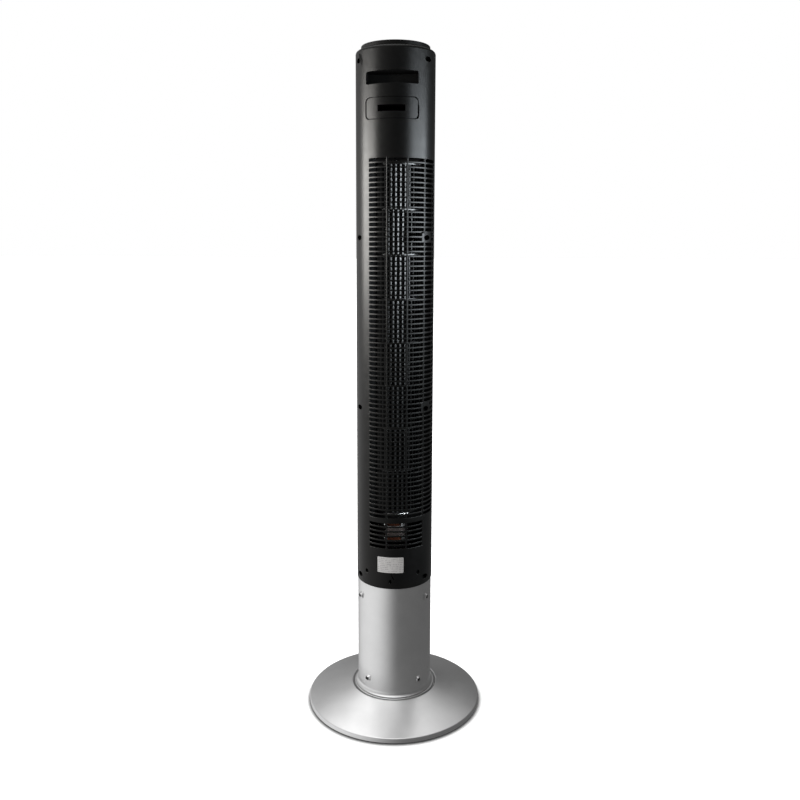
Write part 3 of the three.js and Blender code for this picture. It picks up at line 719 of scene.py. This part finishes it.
def fill_round(hole, thetas, z_of, vertex, verts, outer_r, inner_r):
    """The wall between a hole's outline and the block of cells that was cleared for it."""
    t0, t1, z0, z1 = hole["block"]
    i0, i1 = thetas.index(t0), thetas.index(t1)
    k0, k1 = z_of.index(z0), z_of.index(z1)
    rim = [(i, k0) for i in range(i0, i1)] + [(i1, k) for k in range(k0, k1)]
    rim += [(i, k1) for i in range(i1, i0, -1)] + [(i0, k) for k in range(k1, k0, -1)]
    centre = ((t0 + t1) / 2, (z0 + z1) / 2)
    faces = []
    loops = []
    for side, key, r in ((0, "outer", outer_r), (1, "inner", inner_r)):
        loop = hole[key]
        start = len(verts)
        verts.extend(at(theta, r, z) for theta, z in loop)
        loops.append([start + n for n in range(len(loop))])
        around = [(a, vertex(side, *rim[n])) for a, n in
                  by_angle([(thetas[i], z_of[k]) for i, k in rim], centre)]
        within = [(a, start + n) for a, n in by_angle(loop, centre)]
        patch = bridge(around, within)
        faces += patch if side == 0 else [face[::-1] for face in patch]
    count = len(loops[0])
    for n in range(count):
        m = (n + 1) % count
        faces.append((loops[1][n], loops[0][n], loops[0][m], loops[1][m]))
    return faces


def grid_lines(start, end, step, wanted):
    """Lines from start to end about a step apart that include every wanted one."""
    fixed = sorted({start, end, *[w for w in wanted if start < w < end]})
    lines = []
    for low, high in zip(fixed, fixed[1:]):
        count = max(1, round((high - low) / step))
        lines += [low + (high - low) * n / count for n in range(count)]
        lines[-count] = low
    return lines + [fixed[-1]]


def cup(name, mouth, rim, front_r, back, thickness, material):
    """A blind pocket along Y behind the rear wall: mouth and rim are its inner and outer (x, z) outlines."""
    count = len(mouth)
    verts = []
    for loop, y in ((rim, back), (rim, None), (mouth, None), (mouth, back + thickness)):
        for x, z in loop:
            verts.append((x, math.sqrt(front_r ** 2 - x ** 2) if y is None else y, z))
    faces = []
    for ring in range(3):
        for n in range(count):
            m = (n + 1) % count
            a, b = ring * count, (ring + 1) * count
            faces.append((a + n, b + n, b + m, a + m))
    faces.append(tuple(range(count)))
    faces.append(tuple(reversed(range(3 * count, 4 * count))))
    return make(name, verts, faces, material)


def join(pieces):
    """One object from several, in the first one's name."""
    whole = bmesh.new()
    for piece in pieces:
        whole.from_mesh(piece.data)
    whole.to_mesh(pieces[0].data)
    whole.free()
    for piece in pieces[1:]:
        bpy.data.objects.remove(piece)
    shade(pieces[0].data)
    return pieces[0]


# ---- shells

def slot_rows(rows):
    return [rows["bottom"] + n * SLOT_PITCH for n in range(rows["count"])]


def is_slot(theta, z):
    """True inside one of the rear grille's slots."""
    for rows in (MAIN_ROWS, MOTOR_ROWS):
        row, height = divmod(z - rows["bottom"], SLOT_PITCH)
        if not 0 <= row < rows["count"] or height > SLOT_HEIGHT:
            continue
        beside_screw = rows is MAIN_ROWS and any(row in pair for pair in PAD_ROWS)
        if beside_screw and PAD_THETAS[0] < theta < PAD_THETAS[1]:
            return False
        cells = zip(RIBS[: rows["cells"]], RIBS[1:])
        return any(left + RIB_HALF < theta < right - RIB_HALF for left, right in cells)
    return False


def round_ribs(shell, turn):
    """Shades the grille's upright ribs as if their faces were rounded by turn degrees to each side."""
    mesh = shell.data
    normals = [corner.vector.copy() for corner in mesh.corner_normals]
    grilles = [(rows["bottom"], rows["bottom"] + rows["count"] * SLOT_PITCH)
               for rows in (MAIN_ROWS, MOTOR_ROWS)]
    for polygon in mesh.polygons:
        x, y, z = polygon.center / MM
        theta = math.degrees(math.atan2(-x, y))
        rib = min(RIBS[1:4], key=lambda place: abs(theta - place))
        in_grille = any(low < z < high for low, high in grilles)
        faces_out = polygon.normal.dot(Vector(at(theta, 1, 0))) > 0.95
        on_face = faces_out and math.hypot(x, y) > SHELL_R - 0.3
        if not (in_grille and on_face and abs(theta - rib) < RIB_HALF):
            continue
        for n in polygon.loop_indices:
            vertex = mesh.vertices[mesh.loops[n].vertex_index].co
            aside = math.degrees(math.atan2(-vertex.x, vertex.y)) - rib
            normals[n] = Vector(at(rib + turn * aside / RIB_HALF, 1, 0))
    mesh.normals_split_custom_set(normals)
    return shell


def shell_profiles(levels):
    """Outer and inner (r, z) at each level, with the shoulder that turns in at the top."""
    start = SHELL_TOP - SHOULDER
    outer = [(SHELL_R, z) for z in levels] + [(SHELL_R, start)]
    inner = [(INNER_R, z) for z in levels] + [(INNER_R, start)]
    outer += arc(SHELL_R - SHOULDER_RADIUS, start, SHOULDER_RADIUS, 0, SHOULDER_TURN, 6)[1:]
    inner += arc(SHELL_R - SHOULDER_RADIUS, start, SHOULDER_RADIUS - WALL, 0, SHOULDER_TURN, 6)[1:]
    outer.append((CAP_R + 0.5, SHELL_TOP))
    inner.append((CAP_R + 0.5, SHELL_TOP - 2.6))
    return outer, inner


def side_bosses(radius, front_r, material):
    """The deep round recesses of the side screws."""
    bosses = []
    for z in SIDE_SCREW_HEIGHTS:
        for x in (-SIDE_SCREW_X, SIDE_SCREW_X):
            mouth = circle(x, z, radius)
            rim = circle(x, z, radius + 1.8)
            bosses.append(cup("boss", mouth, rim, front_r, SIDE_SCREW_SEAT - 3, 3, material))
    return bosses


def rear_shell(material):
    holes = []
    for z in SIDE_SCREW_HEIGHTS:
        for x in (-SIDE_SCREW_X, SIDE_SCREW_X):
            middle = rear_theta(x, SHELL_R)
            low, high = PAD_THETAS if middle > 0 else (-PAD_THETAS[1], -PAD_THETAS[0])
            holes.append(drilled(circle(x, z, SIDE_BORE), (low, high, z - 6.4, z + 6.4)))
    for theta, z in FLOOR_SCREWS:
        holes.append(radial_hole(theta, z, FLOOR_BORE, SHELL_R))
    for opening in (HANDLE, POCKET):
        block = (-45.0, 45.0, opening["bottom"] - 5, opening["top"] + 5)
        holes.append(drilled(outline_of(opening), block))
    blocks = [hole["block"] for hole in holes]
    edge = 90 - math.degrees(SEAM / SHELL_R)
    rib_edges = [rib + side * RIB_HALF for rib in RIBS for side in (-1, 1)]
    lines = rib_edges + list(PAD_THETAS) + [t for block in blocks for t in block[:2]]
    thetas = grid_lines(-edge, edge, THETA_STEP, lines)
    slots = slot_rows(MAIN_ROWS) + slot_rows(MOTOR_ROWS)
    levels = [z for row in slots for z in (row, row + SLOT_HEIGHT)]
    levels += [z for block in blocks for z in block[2:]]
    levels = grid_lines(SHELL_BOTTOM, SHELL_TOP - SHOULDER - 0.1, 40, levels)
    outer, inner = shell_profiles(levels)
    shell = wall("rear_shell_visual", thetas, outer, inner, material, is_slot, holes)
    soften(shell, 0.6)
    shell = join([shell, *side_bosses(SIDE_BORE, INNER_R + 1.2, material)])
    round_ribs(true_round(shell, SHELL_R, SHELL_BOTTOM, SHELL_TOP - SHOULDER), RIB_TURN)
    return fit(shell, "head", "black_plastic", "rear_shell")


def front_shell(material):
    block = (135.0, 225.0, WINDOW["bottom"] - 8, WINDOW["top"] + 8)
    hole = drilled(outline_of(WINDOW, side_steps=30), block, front_theta)
    edge = 90 + math.degrees(SEAM / SHELL_R)
    thetas = grid_lines(edge, 360 - edge, THETA_STEP, block[:2])
    levels = grid_lines(SHELL_BOTTOM, SHELL_TOP - SHOULDER - 0.1, 25, block[2:])
    outer, inner = shell_profiles(levels)
    shell = wall("front_shell_visual", thetas, outer, inner, material, None, [hole])
    true_round(soften(shell, 0.5), SHELL_R, SHELL_BOTTOM, SHELL_TOP - SHOULDER)
    return fit(shell, "head", "black_plastic", "front_shell")


def front_grille(material):
    """Upright bars between cross bars, in a frame that fills the window."""
    bars = 9
    half, bottom, top, edge = 43.0, WINDOW["bottom"] + 0.6, WINDOW["top"] - 0.6, 4.4
    outer_r, inner_r = SHELL_R - 0.6, SHELL_R - 2.6
    side = math.degrees(math.asin(half / outer_r))
    cross = [bottom + edge + (top - bottom - 2 * edge) * n / 6 for n in range(7)]
    bar_half = edge / 2 - 0.6
    step = 2 * side / bars
    gap = 0.8 * step

    def is_gap(theta, z):
        place = (theta - (180 - side)) % step
        between = min(abs(z - level) for level in cross) > bar_half
        return between and cross[0] < z < cross[-1] and abs(place - step / 2) < gap / 2

    lines = [180 - side + step * n + step / 2 + s * gap / 2 for n in range(bars) for s in (-1, 1)]
    thetas = grid_lines(180 - side, 180 + side, THETA_STEP, lines)
    levels = [z + s * bar_half for z in cross for s in (-1, 1)]
    levels = grid_lines(bottom, top, 60, levels)
    outer = [(outer_r, z) for z in levels]
    inner = [(inner_r, z) for z in levels]
    grille = wall("front_grille_visual", thetas, outer, inner, material, is_gap)
    soften(grille, 0.4)
    return fit(grille, "head", "black_plastic", "front_grille")


def handle_cup(material):
    mouth = outline_of(HANDLE)
    rim = outline_of(HANDLE, 2)
    piece = cup("handle_cup_visual", mouth, rim, INNER_R - 0.3, HANDLE["back"] - 2, 2, material)
    return fit(piece, "head", "black_plastic", "handle_cup")


def curved_ring(name, rim, mouth, outer_r, inner_r, material, rings=8):
    """A curved plate between two outlines with the same count of points."""
    count = len(rim)
    verts = []
    for r in (outer_r, inner_r):
        for step in range(rings + 1):
            share = step / rings
            for (x0, z0), (x1, z1) in zip(rim, mouth):
                x = x0 + (x1 - x0) * share
                verts.append((x, math.sqrt(r * r - x * x), z0 + (z1 - z0) * share))
    faces = []
    back = (rings + 1) * count
    for n in range(count):
        m = (n + 1) % count
        for step in range(rings):
            a, b = step * count, (step + 1) * count
            faces.append((a + n, b + n, b + m, a + m))
            faces.append((back + a + m, back + b + m, back + b + n, back + a + n))
        faces.append((m, back + m, back + n, n))
        last = rings * count
        faces.append((last + n, back + last + n, back + last + m, last + m))
    return make(name, verts, faces, material)


def remote_pocket(material):
    side_seam, level_seam = 1.9, 1.1
    low, high = POCKET["bottom"] + level_seam, POCKET["top"] - level_seam
    rim = rounded_rect(POCKET["half"] - side_seam, low, high, POCKET["corner"] - level_seam)
    mouth = outline_of(REMOTE)
    edge = outline_of(REMOTE, 2)
    face = curved_ring("remote_pocket_visual", rim, mouth, SHELL_R - 0.1, INNER_R - 1.5, material)
    soften(face, 0.4)
    socket = cup("socket", mouth, edge, INNER_R - 1.6, REMOTE["back"] - 2, 2, material)
    flange = curved_ring(
        "flange",
        rounded_rect(POCKET["half"] + 2.4, POCKET["bottom"] - 2.4, POCKET["top"] + 2.4, POCKET["corner"]),
        rounded_rect(POCKET["half"] - 4, POCKET["bottom"] + 4, POCKET["top"] - 4, POCKET["corner"] - 2),
        INNER_R - 0.3, INNER_R - 2, material, 2)
    whole = true_round(join([face, socket, flange]), SHELL_R - 0.1, POCKET["bottom"], POCKET["top"])
    return fit(whole, "head", "black_plastic", "remote_pocket")


def rating_label(material):
    """A thin film with rounded corners, in two rings that close to its middle."""
    _, half, _, _, z0, z1 = edges_of("rating_label")
    border, dot = 11, 0.5
    middle = (z0 + z1) / 2
    face_r, back_r = SHELL_R + 0.55, SHELL_R + 0.3
    rim = rounded_rect(half, z0, z1, 1.6)
    core = rounded_rect(half - border, z0 + border, z1 - border, 1.0)
    centre = rounded_rect(dot, middle - dot, middle + dot, 0.3)
    film = curved_ring("rating_label_visual", rim, core, face_r, back_r, material, 6)
    heart = curved_ring("heart", core, centre, face_r, back_r, material, 6)
    return fit(join([film, heart]), "head", "label_film", "rating_label")


# ---- pedestal

def base_cover(material):
    """A dished disc with a rounded rim and a recess round the column's foot."""
    rim_top = 10.4
    recess = 75.8
    rise = (BASE_TOP - rim_top) / (BASE_R - recess)
    outline = [(BASE_R - 3, BASE_BOTTOM), (BASE_R - 1, BASE_BOTTOM)]
    outline += arc(BASE_R - 1, BASE_BOTTOM + 1, 1, -60, 0, 3)
    outline += arc(BASE_R - 2.6, rim_top - 2.4, 2.6, 0, 74, 7)
    outline += [(BASE_R - 30, rim_top + 30 * rise), (recess + 2.6, BASE_TOP - 0.45)]
    outline += arc(recess + 1.3, BASE_TOP - 1.3, 1.3, 74, 180, 6)
    outline += [(recess - 2.2, 27.2)]
    outline += [(recess - 2.8, 26.0), (57, 26.0), (57, 23), (recess - 4, 23), (recess - 1, 28)]
    outline += [(BASE_R - 3, rim_top - 2.2)]
    piece = lathe("base_cover_visual", outline, material, 256)
    return fit(piece, "pedestal", "silver_plastic", "base_cover")


def column_socket(material):
    """The bright collar and, inside the column, the spigot that it stands on."""
    spigot = 64.0
    top = COLUMN_BOTTOM - 0.7
    outline = [(56, COLLAR_BOTTOM), (COLLAR_R, COLLAR_BOTTOM)]
    outline += arc(COLLAR_R - 0.9, top - 0.9, 0.9, 0, 90, 5)
    outline += [(spigot, top), (spigot, SOCKET_TOP)]
    outline += [(spigot - 3, SOCKET_TOP), (spigot - 3, 29.4), (56, 29.4)]
    piece = lathe("column_socket_visual", outline, material, 192)
    return fit(piece, "pedestal", "silver_plastic", "column_socket")


def column(material):
    """The tube, with its flared foot and the holes for its screws."""
    inner_r = COLUMN_R - COLUMN_WALL
    holes = []
    for z, thetas in (LOW_SCREWS, HIGH_SCREWS):
        for theta in thetas:
            holes.append(radial_hole(theta, z, COLUMN_BORE, COLUMN_R))
    blocks = [hole["block"] for hole in holes]
    thetas = grid_lines(0.0, 360.0, THETA_STEP, [t for block in blocks for t in block[:2]])
    flare = 9.0
    foot = [(COLUMN_FOOT_R, COLUMN_BOTTOM), (COLUMN_FOOT_R, COLUMN_BOTTOM + 0.9)]
    foot += arc(COLUMN_R + flare, COLUMN_BOTTOM + FOOT_FLARE, flare, 236, 180, 8)
    block_edges = [z for block in blocks for z in block[2:]]
    straight = grid_lines(COLUMN_BOTTOM + 10, COLUMN_TOP - 0.6, 30, block_edges)
    outer = foot + [(COLUMN_R, z) for z in straight] + [(COLUMN_R - 0.6, COLUMN_TOP)]
    inner = [(inner_r, z) for _, z in outer]
    piece = wall("column_visual", thetas, outer, inner, material, None, holes, closed=True)
    true_round(piece, COLUMN_R, COLUMN_BOTTOM + FOOT_FLARE, COLUMN_TOP - 0.6)
    return fit(piece, "pedestal", "silver_plastic", "column")


# ---- blower

def blower_wheel(material):
    """Eight rows of short curved blades between discs; every other row is turned by half a blade."""
    segments = 8
    blades = 30
    first_blade = -2.5
    sweep, depth, half_thick = -10.5, 9.0, 0.65
    disc = 2.0
    rim = 0.7
    shaft_length = 23
    top = WHEEL_TOP - shaft_length
    bottom = WHEEL_BOTTOM
    step = (top - bottom - disc) / segments
    radius = WHEEL_R
    verts = []
    faces = []
    section = []
    for side in (-1, 1):
        points = []
        for n in range(7):
            share = n / 6
            theta = sweep * share ** 2
            points.append((theta + side * half_thick, radius - rim - depth * (1 - share)))
        section += points if side < 0 else points[::-1]
    for row in range(segments):
        z0 = bottom + row * step + 1
        z1 = bottom + (row + 1) * step + 1
        turn = first_blade + (360 / blades / 2) * (row % 2)
        for blade in range(blades):
            start = len(verts)
            for z in (z0, z1):
                verts += [at(theta + turn + 360 * blade / blades, r, z) for theta, r in section]
            count = len(section)
            faces.append(tuple(start + n for n in reversed(range(count))))
            faces.append(tuple(start + count + n for n in range(count)))
            for n in range(count):
                m = (n + 1) % count
                faces.append((start + n, start + m, start + count + m, start + count + n))
    vanes = make("blower_wheel_visual", verts, faces, material)
    discs = []
    for row in range(segments + 1):
        z = bottom + row * step
        inside = 0 if row in (0, segments) else radius - 11
        outline = [(inside, z), (radius, z), (radius, z + disc), (inside, z + disc)]
        discs.append(lathe("disc", outline, material, 96))
    shaft = lathe("shaft", disc_outline(3, top - 1, top + shaft_length), material, 24)
    hub = lathe("hub", disc_outline(9, bottom + 1, bottom + 10), material, 32)
    return fit(join([vanes, *discs, shaft, hub]), "blower", "black_plastic", "blower_wheel")


# ---- motor

def motor_shield(node, upper, material):
    """A cast end shield: a round cup with four windows, whose legs reach the core."""
    wall_thickness = 2.0
    inner_r = MOTOR_R - wall_thickness
    core = edges_of("stator_core")[4:]
    low, high = (core[1] + 0.3, MOTOR_TOP - 3) if upper else (MOTOR_BOTTOM + 3, core[0] - 0.3)
    window = math.degrees(math.asin(15 / MOTOR_R))

    def is_window(theta, z):
        side = (theta + 45) % 90 - 45
        return abs(side) < window and (z > low + 1.7 if upper else z < high - 1.7)

    edges = [90 * n + side * window for n in range(5) for side in (-1, 1)]
    thetas = grid_lines(0.0, 360.0, 6.0, edges)
    levels = grid_lines(low, high, 8.0, [low + 1.7] if upper else [high - 1.7])
    outer = [(MOTOR_R, z) for z in levels]
    inner = [(inner_r, z) for z in levels]
    tube = wall(node + "_visual", thetas, outer, inner, material, is_window, closed=True)
    turn = 1 if upper else -1
    end = MOTOR_TOP if upper else MOTOR_BOTTOM
    outline = [(4.8, end - 2 * turn), (inner_r - 1, end - 2 * turn), (inner_r, end - 3 * turn)]
    outline += [(MOTOR_R, end - 3 * turn), (MOTOR_R - 0.4, end - 1.4 * turn)]
    outline += [(MOTOR_R - 1.6, end - 0.3 * turn), (MOTOR_R - 3, end), (4.8, end)]
    cap = lathe("cap", outline if upper else outline[::-1], material, 96)
    pieces = [soften(tube, 0.4), cap]
    if upper:
        z0, z1 = PLATE_BOTTOM - 2.6, PLATE_BOTTOM - 0.3
        outline = [(inner_r, z0), (FLANGE_R, z0), (FLANGE_R, z1), (inner_r, z1)]
        pieces.append(soften(lathe("flange", outline, material, 96), 0.4))
    return fit(join(pieces), "head", "steel", node)


def stack(node, pitch, depth, material, slot):
    """A ring whose outside is a pile of thin rounded layers: a winding's turns or a core's plates."""
    _, radius, _, _, z0, z1 = edges_of(node)
    inner_r = 19.5
    count = round((z1 - z0) / pitch)
    step = (z1 - z0) / count
    outline = [(inner_r, z0)]
    for n in range(count):
        outline += [(radius - depth, z0 + step * (n + 0.08)), (radius, z0 + step * (n + 0.35))]
        outline += [(radius, z0 + step * (n + 0.65)), (radius - depth, z0 + step * (n + 0.92))]
    outline.append((inner_r, z1))
    piece = lathe(node + "_visual", outline, material, 72)
    return fit(piece, "head", slot, node)


# ---- controls

KEYS = {"power_button": "power_key", "speed_button": "speed_key",
        "timer_button": "timer_key", "swing_button": "swing_key"}
BUTTONS = list(KEYS)


def middle_of(node):
    x0, x1, y0, y1, _, _ = edges_of(node)
    return (x0 + x1) / 2, (y0 + y1) / 2


def slab(name, outline, z0, z1, material):
    """An outline in x and y raised from z0 to z1."""
    count = len(outline)
    verts = [(x, y, z) for z in (z0, z1) for x, y in outline]
    faces = [tuple(reversed(range(count))), tuple(range(count, 2 * count))]
    faces += [(n, (n + 1) % count, count + (n + 1) % count, count + n) for n in range(count)]
    return make(name, verts, faces, material)


def display_outline(grow):
    _, half, y0, y1, _, _ = edges_of("display_window")
    return rounded_rect(half + grow, y0 - grow, y1 + grow, 2.5, 1)


def control_cutters(material):
    """What is cut through the cap and the panel: four round holes and the display's opening."""
    z0, z1 = 1140, 1170
    outline = disc_outline(5.8, z0, z1)
    cutters = [lathe("cutter", outline, material, 48, middle_of(node)) for node in BUTTONS]
    return [*cutters, slab("cutter", display_outline(0.3), z0, z1, material)]


def top_cap(material):
    z0, z1 = 1149.5, 1152.5
    outline = [(0, z0), (54.6, z0), (54.6, CAP_FLANGE_BOTTOM), (CAP_FLANGE_R, CAP_FLANGE_BOTTOM)]
    outline += [(CAP_FLANGE_R, CAP_FLANGE_BOTTOM + 2.5), (CAP_R, CAP_FLANGE_BOTTOM + 2.5)]
    outline += arc(CAP_R - 1.0, HEAD_TOP - 1.0, 1.0, 0, 90, 6)
    outline += arc(51.1, HEAD_TOP - 0.8, 0.8, 90, 180, 4)
    outline += [(50.3, z1), (0, z1)]
    piece = lathe("top_cap_visual", outline, material, 192)
    return fit(carve(piece, control_cutters(material)), "head", "black_plastic", "top_cap")


def control_panel(material):
    _, radius, _, _, z0, z1 = edges_of("control_panel")
    outline = [(0, z0), (radius, z0), (radius, z1 - 0.3), (radius - 0.3, z1), (0, z1)]
    piece = lathe("control_panel_visual", outline, material, 160)
    return fit(carve(piece, control_cutters(material)), "head", "gloss_black", "control_panel")


def display_window(material):
    z0, z1 = edges_of("display_window")[4:]
    piece = slab("display_window_visual", display_outline(0), z0, z1, material)
    return fit(soften(piece, 0.25), "head", "gloss_black", "display_window")


def button(node, material):
    x0, x1, _, _, z0, z1 = edges_of(node)
    flange = (x1 - x0) / 2
    radius = flange - 1
    outline = [(0, z0), (flange, z0), (flange, z0 + 2), (radius, z0 + 2)]
    outline += arc(radius - 0.9, z1 - 0.9, 0.9, 0, 90, 5)
    outline += [(radius * 0.6, z1 - 0.25), (0, z1 - 0.45)]
    piece = lathe(node + "_visual", outline, material, 64, middle_of(node))
    return fit(piece, KEYS[node], "button_plastic", node)


# ---- screws

def screw_mesh(head_r, head_height, shank_r, shank_length, material):
    """A pan-head screw with a cross recess, its tip towards -Y and the underside of its head at y = 0."""
    outline = [(0, -shank_length), (shank_r, -shank_length + 1.5), (shank_r, 0), (head_r, 0)]
    outline += [(head_r, head_height * 0.35), (head_r * 0.85, head_height * 0.8)]
    outline += [(head_r * 0.45, head_height), (0, head_height)]
    body = lathe("screw", outline, material, 32)
    arm = head_r * 0.55
    width = head_r * 0.13
    depth = head_height * 0.55
    cutters = []
    for half_x, half_y in ((arm, width), (width, arm)):
        corners = [(-half_x, -half_y), (half_x, -half_y), (half_x, half_y), (-half_x, half_y)]
        cutters.append(slab("cutter", corners, head_height - depth, head_height + 1, material))
    carve(body, cutters)
    mesh = body.data
    mesh.transform(Matrix.Rotation(math.radians(-90), 4, "X"))
    bpy.data.objects.remove(body)
    return mesh


def screw(mesh, node, body, place, theta=0.0):
    piece = bpy.data.objects.new(node + "_visual", mesh)
    piece.location = Vector(place) * MM
    piece.rotation_euler = (0, 0, math.radians(theta))
    put_in_scene(piece)
    return fit(piece, body, "screw_steel", node)


def screws(material):
    column_screw = screw_mesh(3.1, 1.2, 1.5, 7, material)
    for row, (z, thetas) in (("low", LOW_SCREWS), ("high", HIGH_SCREWS)):
        for n, theta in enumerate(thetas, 1):
            screw(column_screw, f"column_screw_{row}_{n}", "pedestal", at(theta, COLUMN_SCREW_SEAT, z), theta)
    side_screw = screw_mesh(3.6, 2.2, 1.7, 15, material)
    for n, z in enumerate(SIDE_SCREW_HEIGHTS, 1):
        for side, x in (("left", SIDE_SCREW_X), ("right", -SIDE_SCREW_X)):
            screw(side_screw, f"shell_screw_{side}_{n}", "head", (x, SIDE_SCREW_SEAT + 0.3, z))
    floor_screw = screw_mesh(3.2, 0.8, 1.5, 7, material)
    for n, (theta, z) in enumerate(FLOOR_SCREWS, 1):
        screw(floor_screw, f"floor_screw_{n}", "head", at(theta, FLOOR_SCREW_SEAT, z), theta)


# ---- the CAD nodes that stay

def paint(material, *nodes):
    """Gives CAD nodes that keep their shape a finished material."""
    for node in nodes:
        slots = frame["nodes"][node].data.materials
        slots.clear()
        slots.append(material)


def main():
    camera()
    world()
    plane = floor()
    bpy.context.scene.view_settings.view_transform = "Standard"

    black = moulded_black()
    inner = inner_black()
    silver = silver_paint()
    gloss = gloss_black()
    button_plastic = button_grey()

    rear_shell(black)
    front_shell(black)
    front_grille(black)
    handle_cup(inner)
    remote_pocket(black)
    label = rating_label(label_film())
    silver_pieces = [base_cover(silver), column_socket(silver), column(silver)]
    lights([plane, label, *silver_pieces], plane)
    blower_wheel(wheel_black())
    alloy = cast_alloy()
    copper = copper_wire()
    motor_shield("motor_shield_upper", True, alloy)
    motor_shield("motor_shield_lower", False, alloy)
    stack("coil_upper", 1.3, 0.45, copper, "copper_wire")
    stack("coil_lower", 1.3, 0.45, copper, "copper_wire")
    stack("stator_core", 1.0, 0.2, core_plates(), "steel")
    top_cap(black)
    control_panel(gloss)
    display_window(gloss)
    for node in BUTTONS:
        button(node, button_plastic)
    screws(black_screw())

    paint(inner, "chassis_floor", "duct_scroll", "duct_tongue", "motor_plate", "top_bracket", "swing_spigot")
    paint(zinc_steel(), "base_ballast", "swing_motor", "motor_rotor")
    paint(white_nylon(), "swing_gear", "swing_washer", "swing_pinion")
    paint(soft_rubber(), "cord_gland", "bearing_bush", "motor_lead", "foot_1", "foot_2", "foot_3", "foot_4")
    paint(circuit_green(), "control_board")


main()
